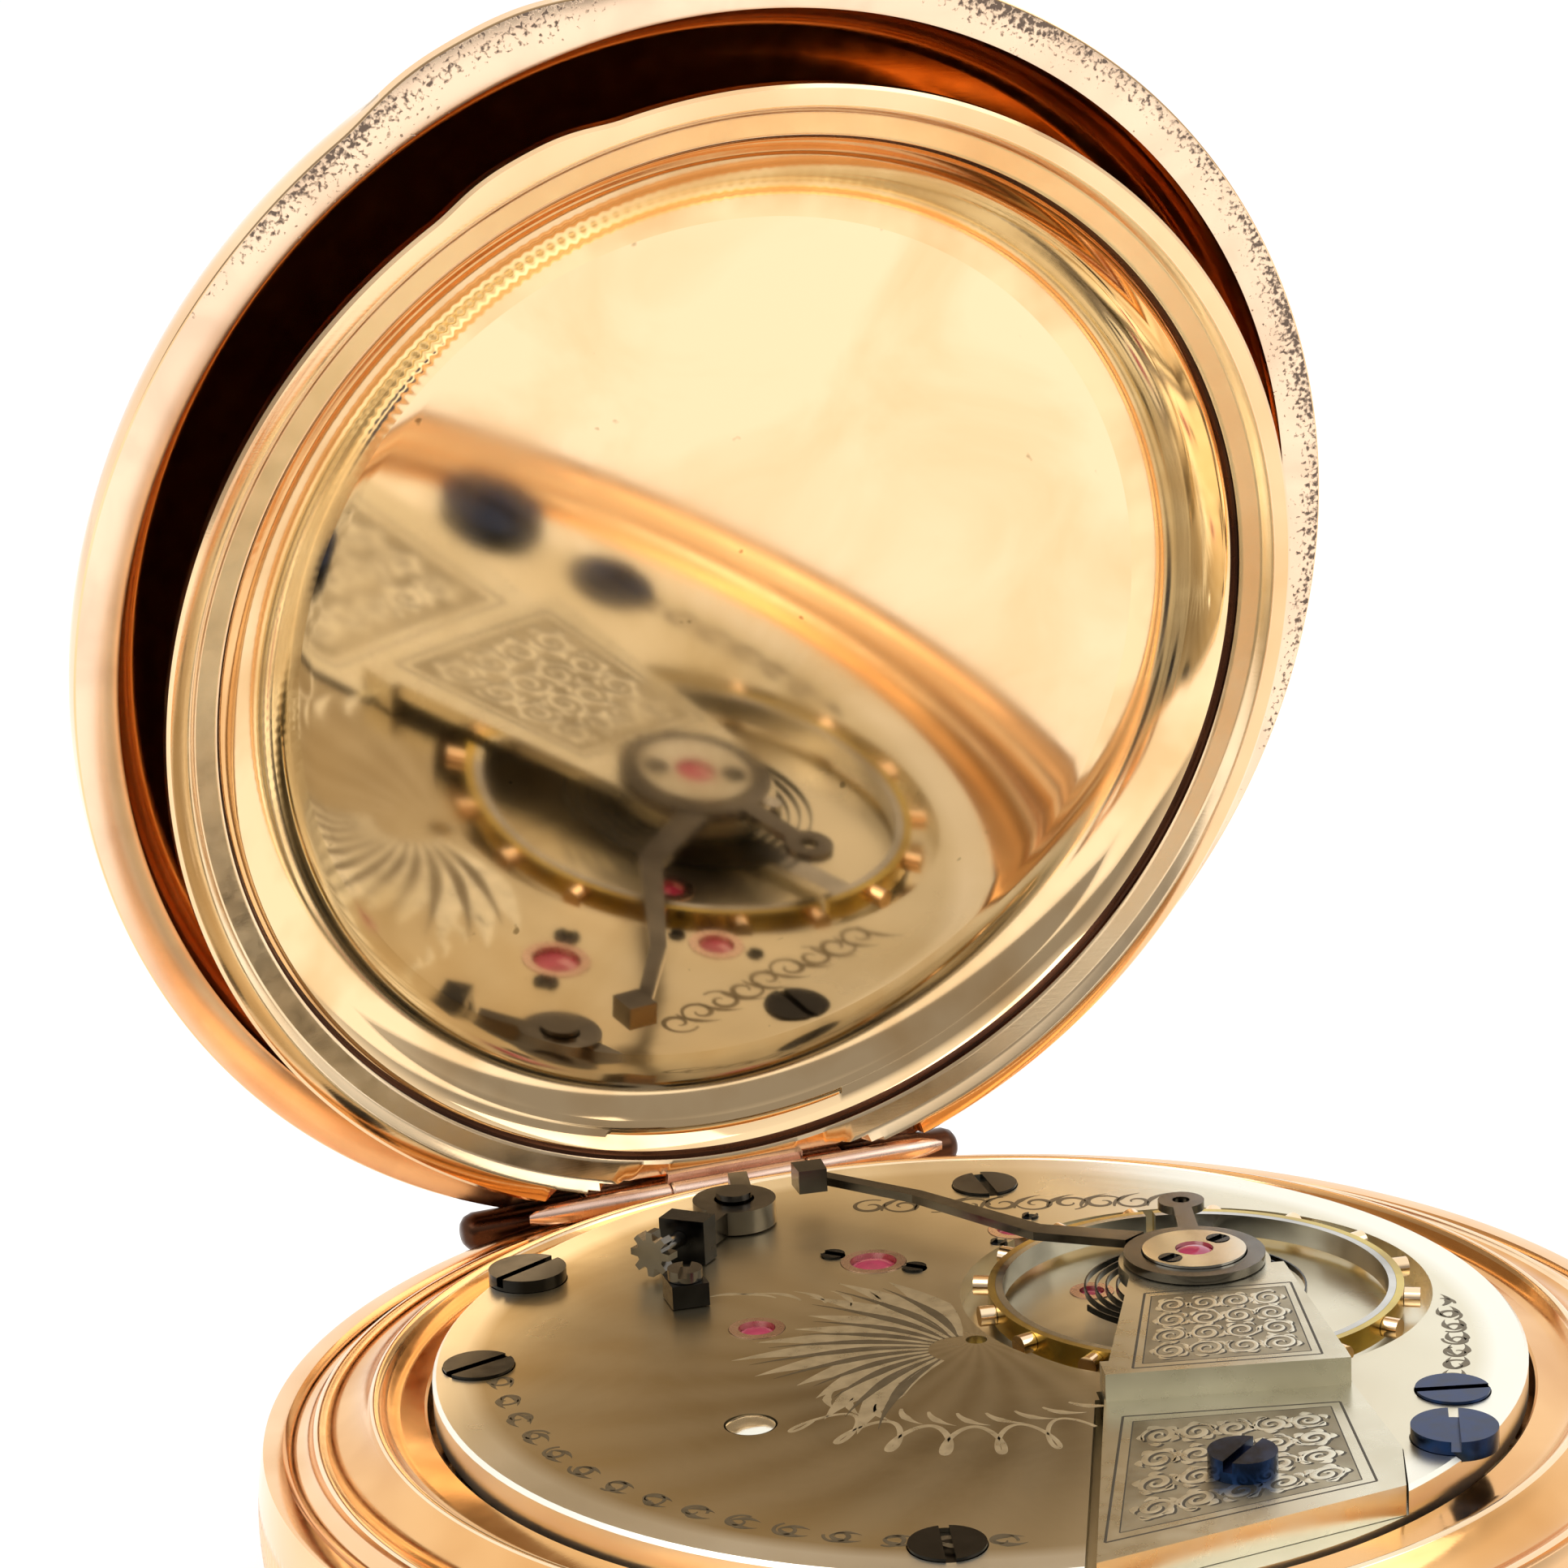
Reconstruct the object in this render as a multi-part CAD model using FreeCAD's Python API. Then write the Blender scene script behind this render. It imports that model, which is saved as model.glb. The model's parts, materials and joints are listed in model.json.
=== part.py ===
"""Hunter pocket watch: one STEP file per piece, in one shared frame.

The watch lies dial down on its closed front cover. +Z points to the back of the watch,
+Y to the hinges (six o'clock) and -Y to the pendant (twelve o'clock). The origin is the
centre of the front cover's flat outer face. The two back lids stand open.
Lengths are in millimetres.
"""
import FreeCAD, Part
import math
import os

V = FreeCAD.Vector
X_AXIS = V(1, 0, 0)
Y_AXIS = V(0, 1, 0)
Z_AXIS = V(0, 0, 1)
GAP = 0.01
OPEN_ANGLE = 78.0

# case
SEAT_FRONT = 4.3
SEAT_BACK = 9.95
BAND_R = 27.85
BORE_R = 21.2
COVER_R = 28.08
COVER_RIM_IN = 26.29
CUVETTE_R = 25.14
HINGE_Y = 27.0
BACK_HINGE_Z = 9.75
FRONT_HINGE_Z = 4.5
HINGE_HALF = 11.9
HINGE_MID = 6.2
BARREL_R = 0.85
PIN_R = 0.25
PIN_FIT = 0.02
CUV_HINGE_Y = 24.0
CUV_HINGE_Z = 11.0
CUV_HALF = 9.8
CUV_MID = 3.2
CUV_BARREL_R = 0.5
CUV_CHORD_Y = 23.4
CUV_TUBE_REACH = 25.8
LIP_ANGLE = -115.0

# pendant, crown and bow
STEM_Z = 7.1
BOW_Y = -31.5
BOW_R = 7.6
BOW_WIRE = 1.1
BOW_REACH = 8.5
CROWN_R = 3.3
CROWN_Y0 = -34.6
CROWN_Y1 = -38.8

# movement plates
PLATE_R = 20.95
MAIN_Z0 = 4.9
MAIN_Z1 = 6.7
TOP_Z0 = 10.6
TOP_Z1 = 12.0
PILLARS = [(-17.92, 6.81), (7.96, 15.61), (-8.99, -16.29), (13.19, -13.04)]
CASE_SCREWS = [(-13.09, 14.69), (10.9, -16.8)]
COCK_SCREW = (2.73, -15.93)
BALANCE = (9.9, 0.6)
WELL_R = 9.3
WELL_Z = 11.1
COCK_Z0 = 12.6
COCK_Z1 = 13.2
FOOT_Z0 = 11.0
FOOT_Z1 = 12.12
FOOT = [(1.5, -7.75), (10.3, -10.6), (8.72, -16.8), (7.1, -19.7), (-5.3, -20.2)]
ARM = [(6.9, 0.4), (12.9, -1.2), (10.11, -10.99), (1.38, -8.11)]
RISER = [(1.38, -8.11), (10.11, -10.99), (10.5, -9.75), (1.78, -6.88)]
STUD = (12.26, 2.4)
TAIL = (12.26, 6.02)
POSTS = [(-3.19, 16.58), (-6.6, 13.54), (-8.37, 9.17)]

# going train
BARREL = (-10.88, -3.42)
THIRD = (-7.0, 5.2)
FOURTH = (0.0, 9.6)
ESCAPE = (6.66, 10.12)
FORK = (7.28, 4.42)
CROWN_WHEEL = (0.0, -10.5)
MINUTE_WHEEL = (4.4, 0.0)
CLICK = (-15.1, 3.85)

# train jewels: centre, stone radius, top of the stone
TRAIN_JEWELS = [(THIRD, 0.72, 12.0), (FOURTH, 0.95, 12.05), (ESCAPE, 0.72, 12.05)]
SETTING_WALL = 0.38

# dial side
DIAL_Z0 = 3.4
DIAL_Z1 = 4.0
DIAL_R = 21.5


def out(name, *shapes):
    """Write one piece; several solids go in as one compound."""
    shape = shapes[0] if len(shapes) == 1 else Part.makeCompound(list(shapes))
    shape.exportStep("parts/" + name + ".step")


def ngon(points, z0, z1):
    """A straight-sided prism over points in XY."""
    corners = [V(x, y, z0) for x, y in points]
    return Part.Face(Part.makePolygon(corners + corners[:1])).extrude(V(0, 0, z1 - z0))


def rod(centre, radius, z0, z1):
    return Part.makeCylinder(radius, z1 - z0, V(centre[0], centre[1], z0))


def ring(centre, outer, inner, z0, z1):
    return rod(centre, outer, z0, z1).cut(rod(centre, inner, z0 - 1, z1 + 1))


def block(x0, x1, y0, y1, z0, z1):
    return Part.makeBox(x1 - x0, y1 - y0, z1 - z0, V(x0, y0, z0))


def rod_x(x0, x1, y, z, radius):
    return Part.makeCylinder(radius, x1 - x0, V(x0, y, z), X_AXIS)


def rod_y(y0, y1, radius, z=STEM_Z):
    return Part.makeCylinder(radius, y1 - y0, V(0, y0, z), Y_AXIS)


def profile(path):
    """Closed outline from (r, z) points; a pair of points is an arc through the first."""
    edges = []
    here = V(path[0][0], 0, path[0][1])
    for step in path[1:] + path[:1]:
        if isinstance(step[0], tuple):
            middle = V(step[0][0], 0, step[0][1])
            there = V(step[1][0], 0, step[1][1])
            edges.append(Part.Arc(here, middle, there).toShape())
        else:
            there = V(step[0], 0, step[1])
            edges.append(Part.makeLine(here, there))
        here = there
    return Part.Face(Part.Wire(edges))


def dome(edge_r, edge_z, top_z):
    """Middle point of a sphere's arc from an edge to its top on the axis."""
    rise = abs(top_z - edge_z)
    sphere_r = (edge_r * edge_r + rise * rise) / (2 * rise)
    half = 0.5 * edge_r
    drop = sphere_r - math.sqrt(sphere_r * sphere_r - half * half)
    return (half, top_z - math.copysign(drop, top_z - edge_z))


def turned(path):
    """Solid of revolution about Z."""
    return profile(path).revolve(V(0, 0, 0), Z_AXIS, 360)


def turned_y(path):
    """Solid of revolution about the stem's axis; points are (radius, y)."""
    points = [V(r, y, STEM_Z) for r, y in path]
    face = Part.Face(Part.makePolygon(points + points[:1]))
    return face.revolve(V(0, 0, STEM_Z), Y_AXIS, 360)


def at_angle(centre, radius, degrees):
    a = math.radians(degrees)
    return (centre[0] + radius * math.cos(a), centre[1] + radius * math.sin(a))


def gear_outline(teeth, tip, root, phase, fill=0.36):
    """Trapezoid teeth; phase is the angle of the first tooth's middle."""
    pitch = 360.0 / teeth
    points = []
    for i in range(teeth):
        middle = phase + i * pitch
        for radius, offset in [(root, -fill), (tip, -0.5 * fill), (tip, 0.5 * fill), (root, fill)]:
            points.append((radius, middle + offset * pitch))
    return points


def gear(centre, teeth, tip, root, z0, z1, phase=0.0, bore=0.0):
    points = [at_angle(centre, r, a) for r, a in gear_outline(teeth, tip, root, phase, 0.30)]
    body = ngon(points, z0, z1)
    return body.cut(rod(centre, bore, z0 - 1, z1 + 1)) if bore else body


def heading(a, b):
    """Angle of the line from a to b, in degrees."""
    return math.degrees(math.atan2(b[1] - a[1], b[0] - a[0]))


def crossed_wheel(centre, teeth, tip, root, z0, z1, phase, bore, spokes=4):
    """A train wheel with open windows between its spokes."""
    wheel = gear(centre, teeth, tip, root, z0, z1, phase, bore)
    hub = max(bore * 2.2, 1.3)
    rim = root - 0.7
    step = 360.0 / spokes
    for i in range(spokes):
        mid = (i + 0.5) * step
        half = 0.5 * step
        corners = []
        for radius, margin in [(hub, 0.45), (rim, 0.13)]:
            angles = [-1, -0.5, 0, 0.5, 1] if radius == rim else [1, 0, -1]
            for k in angles:
                corners.append(at_angle(centre, radius, mid + k * half * (1 - margin)))
        wheel = wheel.cut(ngon(corners, z0 - 1, z1 + 1))
    return wheel


def arbor(centre, levels):
    """Stacked round steps: (radius, z0, z1)."""
    parts = [rod(centre, r, z0, z1) for r, z0, z1 in levels]
    return parts[0].multiFuse(parts[1:]).removeSplitter() if len(parts) > 1 else parts[0]


def slotted_screw(centre, head_r, z_seat, head_h, shank_r, depth, slot_angle):
    """Cheese-head screw seen from +Z."""
    head = rod(centre, head_r, z_seat, z_seat + head_h)
    slot = block(-head_r - 1, head_r + 1, -0.18, 0.18, z_seat + 0.5 * head_h, z_seat + head_h + 1)
    slot.rotate(V(0, 0, 0), Z_AXIS, slot_angle)
    slot.translate(V(centre[0], centre[1], 0))
    return head.cut(slot).fuse(rod(centre, shank_r, z_seat - depth, z_seat))


def opened(shape, hinge_y, hinge_z):
    """Swing a lid from closed to the open rest pose."""
    turned_shape = shape.copy()
    turned_shape.rotate(V(0, hinge_y, hinge_z), X_AXIS, -OPEN_ANGLE)
    return turned_shape


def open_back(shape):
    return opened(shape, HINGE_Y, BACK_HINGE_Z)


def open_cuvette(shape):
    return opened(shape, CUV_HINGE_Y, CUV_HINGE_Z)


def spiral(centre, r0, pitch, thickness, half_turns, z0, z1):
    """Flat spring of joined half-circle bands, each one wider than the last."""
    cx, cy = centre
    bands = []
    radius = r0
    x = cx
    for i in range(half_turns):
        band = ring((x, cy), radius + thickness, radius, z0, z1)
        side = 1 if i % 2 == 0 else -1
        y0, y1 = sorted([cy, cy + side * 100])
        bands.append(band.common(block(-100, 100, y0, y1, z0, z1)))
        x += -0.5 * side * pitch
        radius += 0.5 * pitch
    return bands[0].multiFuse(bands[1:])


# ---------------------------------------------------------------- case

def case_centre():
    """The middle ring: rounded band, seats for both covers, two fine ridges."""
    body = turned([
        (BORE_R, 10.9), (22.2, 10.72), (22.85, 11.0), (23.08, 11.32), (23.3, 11.32), (23.5, 11.02),
        (24.4, 10.98), ((24.8, 10.6), (25.0, 10.3)), (25.25, 10.43), (25.5, 10.43),
        ((25.85, 9.72), (26.4, 9.7)), (26.75, SEAT_BACK), (27.5, SEAT_BACK),
        ((BAND_R, 7.1), (27.5, SEAT_FRONT)), (22.5, SEAT_FRONT), (22.5, 5.65), (BORE_R, 5.65),
        (BORE_R, 6.2), (22.7, 6.2), (22.7, 8.2), (BORE_R, 8.2),
    ])
    for z0, z1 in [(7.9, 12.0), (3.0, 6.35)]:
        body = body.cut(block(-12.4, 12.4, 26.1, 29, z0, z1))
    body = body.cut(rod_x(-CUV_HALF - 0.1, CUV_HALF + 0.1, CUV_HINGE_Y, CUV_HINGE_Z, CUV_BARREL_R + GAP))
    body = body.cut(rod_x(-CUV_MID - 0.1, CUV_MID + 0.1, CUV_HINGE_Y, CUV_HINGE_Z, CUV_BARREL_R + 0.15))
    body = body.cut(rod_y(-30, -20, 1.25))
    out("case_centre", body)


def hinge_box(axis_z, side):
    """Fixed half of a cover hinge: a bar let into the band with two end knuckles."""
    z0, z1 = sorted([axis_z - side * 0.92, axis_z - side * 1.8])
    shape = block(-HINGE_HALF, HINGE_HALF, 26.15, 26.93, z0, z1)
    z0, z1 = sorted([axis_z, axis_z - side * 1.0])
    for x0, x1 in [(-HINGE_HALF, -HINGE_MID - 0.1), (HINGE_MID + 0.1, HINGE_HALF)]:
        shape = shape.fuse(block(x0, x1, 26.4, 26.93, z0, z1))
        shape = shape.fuse(rod_x(x0, x1, HINGE_Y, axis_z, BARREL_R))
    shape = shape.cut(rod_x(-20, 20, HINGE_Y, axis_z, PIN_R + PIN_FIT))
    return shape.removeSplitter()


def hinge_clearance(shape, axis_z):
    """Cut a cover's rim clear of the fixed knuckles and let its own knuckle in."""
    shape = shape.cut(rod_x(-HINGE_MID, HINGE_MID, HINGE_Y, axis_z, BARREL_R + GAP))
    for x0, x1 in [(-13, -HINGE_MID), (HINGE_MID, 13)]:
        shape = shape.cut(rod_x(x0, x1, HINGE_Y, axis_z, BARREL_R + 0.2))
    return shape


def cover_knuckle(axis_z):
    """Moving middle knuckle, let into the cover's rim."""
    barrel = rod_x(-HINGE_MID, HINGE_MID, HINGE_Y, axis_z, BARREL_R)
    return barrel.cut(rod_x(-20, 20, HINGE_Y, axis_z, PIN_R + PIN_FIT))


def thumb_lip(radius, z0, z1, reach, half_width):
    """Short raised lip on a lid's edge, for the thumbnail."""
    lip = turned([(radius - 0.5, z0), (radius + reach, z0), (radius + reach, z1), (radius - 0.5, z1)])
    window = block(0, 60, -half_width, half_width, z0 - 1, z1 + 1)
    window.rotate(V(0, 0, 0), Z_AXIS, LIP_ANGLE)
    return lip.common(window)


def back_cover():
    shell = turned([
        (COVER_RIM_IN, 10.0), (COVER_R, 10.0), (COVER_R, 10.6), ((27.5, 12.4), (25.6, 13.8)),
        (dome(25.6, 13.8, 17.5), (0, 17.5)), (0, 16.9), (dome(24.6, 13.4, 16.9), (24.6, 13.4)),
        ((25.7, 12.4), (26.0, 11.1)), (26.29, 10.8),
    ])
    shell = shell.fuse(thumb_lip(COVER_R, 10.0, 10.5, 0.5, 3.0)).removeSplitter()
    shell = hinge_clearance(shell, BACK_HINGE_Z)
    out("back_cover", open_back(shell), open_back(cover_knuckle(BACK_HINGE_Z)))


def cuvette():
    shell = turned([
        (24.2, 11.1), (CUVETTE_R - 0.15, 11.1), (CUVETTE_R, 11.25), (CUVETTE_R, 11.7), (24.5, 12.2),
        (23.3, 12.5), ((22.3, 13.5), (20.8, 14.1)), (dome(20.8, 14.1, 15.9), (0, 15.9)), (0, 15.5),
        (dome(20.5, 13.7, 15.5), (20.5, 13.7)), ((22.0, 13.0), (22.95, 12.0)), (22.95, 11.75), (23.9, 11.6),
    ])
    shell = shell.fuse(thumb_lip(CUVETTE_R, 11.25, 11.65, 0.35, 2.2)).removeSplitter()
    shell = shell.cut(block(-30, 30, CUV_CHORD_Y, 40, 5, 20))
    leaf = block(-CUV_MID, CUV_MID, CUV_CHORD_Y + GAP, CUV_HINGE_Y, 11.12, 11.48)
    barrel = rod_x(-CUV_MID, CUV_MID, CUV_HINGE_Y, CUV_HINGE_Z, CUV_BARREL_R)
    knuckle = barrel.fuse(leaf).cut(rod_x(-20, 20, CUV_HINGE_Y, CUV_HINGE_Z, 0.22))
    out("cuvette", open_cuvette(shell), open_cuvette(knuckle.removeSplitter()))
    fixed = []
    for x0, x1 in [(-CUV_HALF, -CUV_MID - 0.06), (CUV_MID + 0.06, CUV_HALF)]:
        barrel = rod_x(x0, x1, CUV_HINGE_Y, CUV_HINGE_Z, CUV_BARREL_R)
        barrel = barrel.common(rod((0, 0), CUV_TUBE_REACH, 10, 12))
        fixed.append(barrel.cut(rod_x(-20, 20, CUV_HINGE_Y, CUV_HINGE_Z, 0.22)))
    out("cuvette_hinge_tubes", *fixed)


def front_cover():
    shell = turned([
        (26.2, 4.25), (27.9, 4.25), (27.9, 3.7), ((26.9, 1.7), (24.2, 0.75)), ((19.5, 0.15), (15.5, 0)),
        (0, 0), (0, 0.5), (15.5, 0.5), ((19.7, 0.66), (24.0, 1.2)), ((25.6, 2.1), (26.2, 3.4)),
    ])
    shell = hinge_clearance(shell, FRONT_HINGE_Z)
    out("front_cover", shell, cover_knuckle(FRONT_HINGE_Z))


def hinge_pins():
    back = rod_x(-HINGE_HALF + 0.1, HINGE_HALF - 0.1, HINGE_Y, BACK_HINGE_Z, PIN_R)
    front = rod_x(-HINGE_HALF + 0.1, HINGE_HALF - 0.1, HINGE_Y, FRONT_HINGE_Z, PIN_R)
    inner = rod_x(-CUV_HALF + 0.1, CUV_HALF - 0.1, CUV_HINGE_Y, CUV_HINGE_Z, 0.2)
    out("hinge_pins", back, front, inner)


def bezel_and_crystal():
    bezel = turned([
        (20.9, 2.2), (21.9, 1.75), ((24.2, 2.3), (25.4, 3.4)), (25.4, 4.25), (22.45, 4.25),
        (22.45, 4.6), (21.8, 4.6), (21.8, 3.3), (20.9, 3.3),
    ])
    out("bezel", bezel.cut(ring((0, 0), 21.55, 15, 2.35, 2.95)))
    crystal = turned([
        (0, 0.95), (dome(20.6, 2.1, 0.95), (20.6, 2.1)), (20.6, 2.4), (21.5, 2.4), (21.5, 2.9),
        (20.3, 2.9), (20.3, 2.4), (dome(20.3, 2.4, 1.45), (0, 1.45)),
    ])
    out("crystal", crystal)


def lid_springs():
    """Two flat springs in the case's inner groove: one lifts, one latches the front cover."""
    springs = []
    for middle in (90.0, -90.0):
        strip = ring((0, 0), 22.6, 22.2, 6.4, 8.0)
        a = at_angle((0, 0), 40, middle - 34)
        b = at_angle((0, 0), 40, middle + 34)
        strip = strip.common(ngon([(0, 0), a, at_angle((0, 0), 60, middle), b], 6, 9))
        springs.append(strip.cut(rod_y(-30, -20, 1.0)))
    out("lid_springs", *springs)


def pendant():
    """Turned neck on the band, with a ball that the bow's pins enter."""
    neck = turned_y([(0.0, -34.0), (1.9, -34.0), (2.3, -33.6), (2.1, -33.1), (2.65, -32.5), (2.75, -31.5),
                     (2.65, -30.5), (2.2, -29.8), (2.25, -28.8), (2.7, -27.9), (2.75, -26), (0.0, -26)])
    neck = neck.cut(rod((0, 0), BAND_R + GAP, 0, 20)).cut(rod_y(-40, -20, 1.25))
    out("pendant", neck.cut(rod_x(-4, 4, BOW_Y, STEM_Z, 0.55)))
    sleeve = rod_y(-33.9, -28.2, 1.24).cut(rod_y(-40, -20, 0.95))
    out("pendant_sleeve", sleeve.cut(rod_x(-4, 4, BOW_Y, STEM_Z, 0.55)))


def bow():
    """Round wire loop with two short pins that point inwards."""
    centre = V(0, BOW_Y - BOW_REACH, STEM_Z)
    loop = Part.makeTorus(BOW_R, BOW_WIRE, centre, Z_AXIS)
    half = 0.5 * BOW_R
    gate_y = BOW_Y - BOW_REACH + BOW_R * math.cos(math.radians(30))
    loop = loop.cut(block(-half, half, gate_y - 3, gate_y + 6, 0, 20))
    shape = loop
    for side in (-1, 1):
        start = V(side * half, gate_y, STEM_Z)
        end = V(side * 4.05, BOW_Y, STEM_Z)
        shape = shape.fuse(Part.makeSphere(BOW_WIRE, start))
        shape = shape.fuse(Part.makeSphere(BOW_WIRE, end))
        shape = shape.fuse(Part.makeCylinder(BOW_WIRE, end.distanceToPoint(start), start, end - start))
        x0, x1 = sorted([side * 1.6, side * 4.0])
        shape = shape.fuse(rod_x(x0, x1, BOW_Y, STEM_Z, 0.5))
    out("bow", shape.removeSplitter())


def crown_and_stem():
    flutes = ngon(gear_points_xy(26, CROWN_R, CROWN_R - 0.35), 0, 5)
    flutes.rotate(V(0, 0, 0), X_AXIS, 90)
    flutes.translate(V(0, CROWN_Y0, STEM_Z))
    envelope = turned_y([(0, CROWN_Y0), (2.7, CROWN_Y0), (CROWN_R, CROWN_Y0 - 0.5),
                         (CROWN_R, CROWN_Y1 + 1.1), (2.7, CROWN_Y1 + 0.4), (1.4, CROWN_Y1), (0, CROWN_Y1)])
    crown = flutes.common(envelope).cut(rod_y(-37.5, -30, 0.6 + GAP))
    out("crown", crown)
    out("winding_stem", rod_y(-37.4, -14.5, 0.6))
    collar = rod_y(-30.6, -29.2, 0.9).cut(rod_y(-40, -20, 0.63))
    out("stem_collar", collar)
    pinion = ngon(gear_points_xy(12, 1.92, 1.5), 0, 2.2)
    pinion.rotate(V(0, 0, 0), X_AXIS, 90)
    pinion.translate(V(0, -15.4, STEM_Z))
    out("winding_pinion", pinion.cut(rod_y(-20, -10, 0.6 + GAP)))


def gear_points_xy(teeth, tip, root):
    return [at_angle((0, 0), r, a) for r, a in gear_outline(teeth, tip, root, 0.0)]


# ------------------------------------------------------------ movement

def main_plate():
    plate = rod((0, 0), 22.4, MAIN_Z0, 5.6).fuse(rod((0, 0), PLATE_R, 5.6, MAIN_Z1))
    plate = plate.cut(rod((0, 0), 8.2, MAIN_Z0 - 1, 5.35))
    plate = plate.cut(rod(CROWN_WHEEL, 6.5, MAIN_Z0 - 1, 5.35))
    plate = plate.cut(block(-2.4, 2.4, -19.1, -14.6, MAIN_Z0 - 1, MAIN_Z1 + 1))
    plate = plate.cut(rod_y(-30, -13.8, 0.75))
    holes = [((0, 0), 0.85), (BARREL, 1.05), (THIRD, 0.25), (FOURTH, 0.28), (ESCAPE, 0.2), (FORK, 0.2)]
    for centre, radius in holes:
        plate = plate.cut(rod(centre, radius, 4, 8))
    for centre in [CROWN_WHEEL, MINUTE_WHEEL]:
        plate = plate.cut(rod(centre, 0.51, 4, 6.2))
    for degrees in (15, 135, 255):
        plate = plate.cut(rod(at_angle((0, 0), 18.6, degrees), 0.55, 4, 6.2))
    for centre in CASE_SCREWS:
        plate = plate.cut(rod(centre, 0.51, 4, 8))
    out("main_plate", plate.removeSplitter())


def pillars():
    posts = []
    for centre in PILLARS:
        post = arbor(centre, [(1.4, MAIN_Z1 + GAP, 7.3), (1.15, 7.3, 10.0), (1.4, 10.0, TOP_Z0 - GAP)])
        posts.append(post.cut(rod(centre, 0.51, 7.4, 11)))
    out("pillars", *posts)


def top_plate():
    plate = turned([(0, TOP_Z0), (PLATE_R, TOP_Z0), (PLATE_R, TOP_Z1 - 0.15), (PLATE_R - 0.15, TOP_Z1),
                    (0, TOP_Z1)])
    plate = plate.cut(rod(BALANCE, WELL_R, WELL_Z, TOP_Z1 + 1)).cut(rod(BALANCE, 1.75, TOP_Z0 - 1, 13))
    seat = [(1.24, -7.5), (10.42, -10.4), (8.77, -16.8), (7.15, -19.8), (7.2, -22.0), (-6.75, -22.0)]
    plate = plate.cut(ngon(seat, FOOT_Z0 - 0.02, TOP_Z1 + 1))
    plate = plate.cut(ngon(grown(RISER, 0.1), FOOT_Z0 - 0.02, TOP_Z1 + 1))
    for centre in PILLARS:
        plate = plate.cut(rod(centre, 0.6, TOP_Z0 - 1, 13)).cut(rod(centre, 1.42, 11.5, 13))
    for centre in CASE_SCREWS:
        plate = plate.cut(rod(centre, 0.6, TOP_Z0 - 1, 13)).cut(rod(centre, 1.62, 11.75, 13))
    plate = plate.cut(rod(COCK_SCREW, 0.51, TOP_Z0 - 1, 13))
    plate = plate.cut(rod(BARREL, 1.0, TOP_Z0 - 1, 13)).cut(rod((0, 0), 0.42, TOP_Z0 - 1, 13))
    for centre, stone, _ in TRAIN_JEWELS:
        hole = rod(centre, stone + SETTING_WALL + 0.02, 11.2, 13)
        plate = plate.cut(hole).cut(rod(centre, 0.3, TOP_Z0 - 1, 13))
    plate = plate.cut(rod(FORK, 0.9, 10.8, 13)).cut(rod(FORK, 0.3, TOP_Z0 - 1, 13))
    for centre, head, _ in jewel_screw_places():
        plate = plate.cut(rod(centre, head + 0.02, 11.3, 13))
    for centre in POSTS:
        plate = plate.cut(rod(centre, 0.41, 11.0, 13))
    out("top_plate", plate.removeSplitter())


def grown(points, by):
    """Push a polygon's corners out from its middle."""
    mx = sum(p[0] for p in points) / len(points)
    my = sum(p[1] for p in points) / len(points)
    result = []
    for x, y in points:
        reach = math.hypot(x - mx, y - my)
        k = (reach + 1.5 * by) / reach
        result.append((mx + k * (x - mx), my + k * (y - my)))
    return result


def jewel_screw_places():
    """Two small screws beside two of the train jewels: centre, head radius, turn."""
    places = []
    for centre, reach, head, turn in [(FOURTH, 1.87, 0.5, 128.0), (ESCAPE, 1.62, 0.34, 40.0)]:
        for side in (0, 180):
            places.append((at_angle(centre, reach, turn + side), head, turn))
    return places


def plate_screws():
    screws = [slotted_screw(COCK_SCREW, 1.25, FOOT_Z1 + GAP, 0.8, 0.5, 1.5, 35)]
    for centre, turn in zip(PILLARS, (15, 80, 70, -20)):
        screws.append(slotted_screw(centre, 1.38, 11.52, 0.6, 0.5, 3.6, turn))
    out("plate_screws", *screws)
    big = [slotted_screw(c, 1.58, 11.77, 0.75, 0.5, 6.0, t) for c, t in zip(CASE_SCREWS, (25, 60))]
    out("case_screws", *big)


def jewels():
    stones = []
    rings = []
    for centre, stone, top in TRAIN_JEWELS:
        stones.append(domed(centre, stone, 11.25, top).cut(rod(centre, 0.14, 10, 11.6)))
        rings.append(ring(centre, stone + SETTING_WALL, stone + GAP, 11.21, 12.03))
    stones.append(domed(FORK, 0.5, 10.85, WELL_Z).cut(rod(FORK, 0.14, 10, 11.0)))
    out("train_jewels", *stones)
    rings.append(ring(FORK, 0.89, 0.51, 10.81, WELL_Z + 0.04))
    out("jewel_settings", *rings)
    small = [slotted_screw(c, head, 11.7, 0.4, 0.2, 0.35, t) for c, head, t in jewel_screw_places()]
    small += [slotted_screw(c, 0.46, 13.45, 0.3, 0.2, 0.03, 20) for c in cap_screw_places()]
    out("jewel_screws", *small)


def domed(centre, radius, z0, z1):
    """Short post with a rounded top."""
    rise = 0.3 * radius
    big = (radius * radius + rise * rise) / (2 * rise)
    ball = Part.makeSphere(big, V(centre[0], centre[1], z1 - big))
    return rod(centre, radius, z0, z1).common(ball)


def balance_cock():
    """Foot let into the plate, upright riser and a tapered arm over the balance."""
    foot = ngon(FOOT, FOOT_Z0, FOOT_Z1).common(rod((0, 0), PLATE_R - 0.02, 0, 20))
    riser = ngon(RISER, FOOT_Z0, COCK_Z1)
    arm = ngon(ARM, COCK_Z0, COCK_Z1).fuse(rod(BALANCE, 3.0, COCK_Z0, COCK_Z1))
    shape = foot.fuse(riser).fuse(arm).removeSplitter()
    shape = shape.cut(rod(BALANCE, 0.2, 12, 14)).cut(rod(COCK_SCREW, 0.6, 10, 14))
    shape = shape.cut(rod(STUD, 0.36, 12, 14))
    out("balance_cock", shape)


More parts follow.
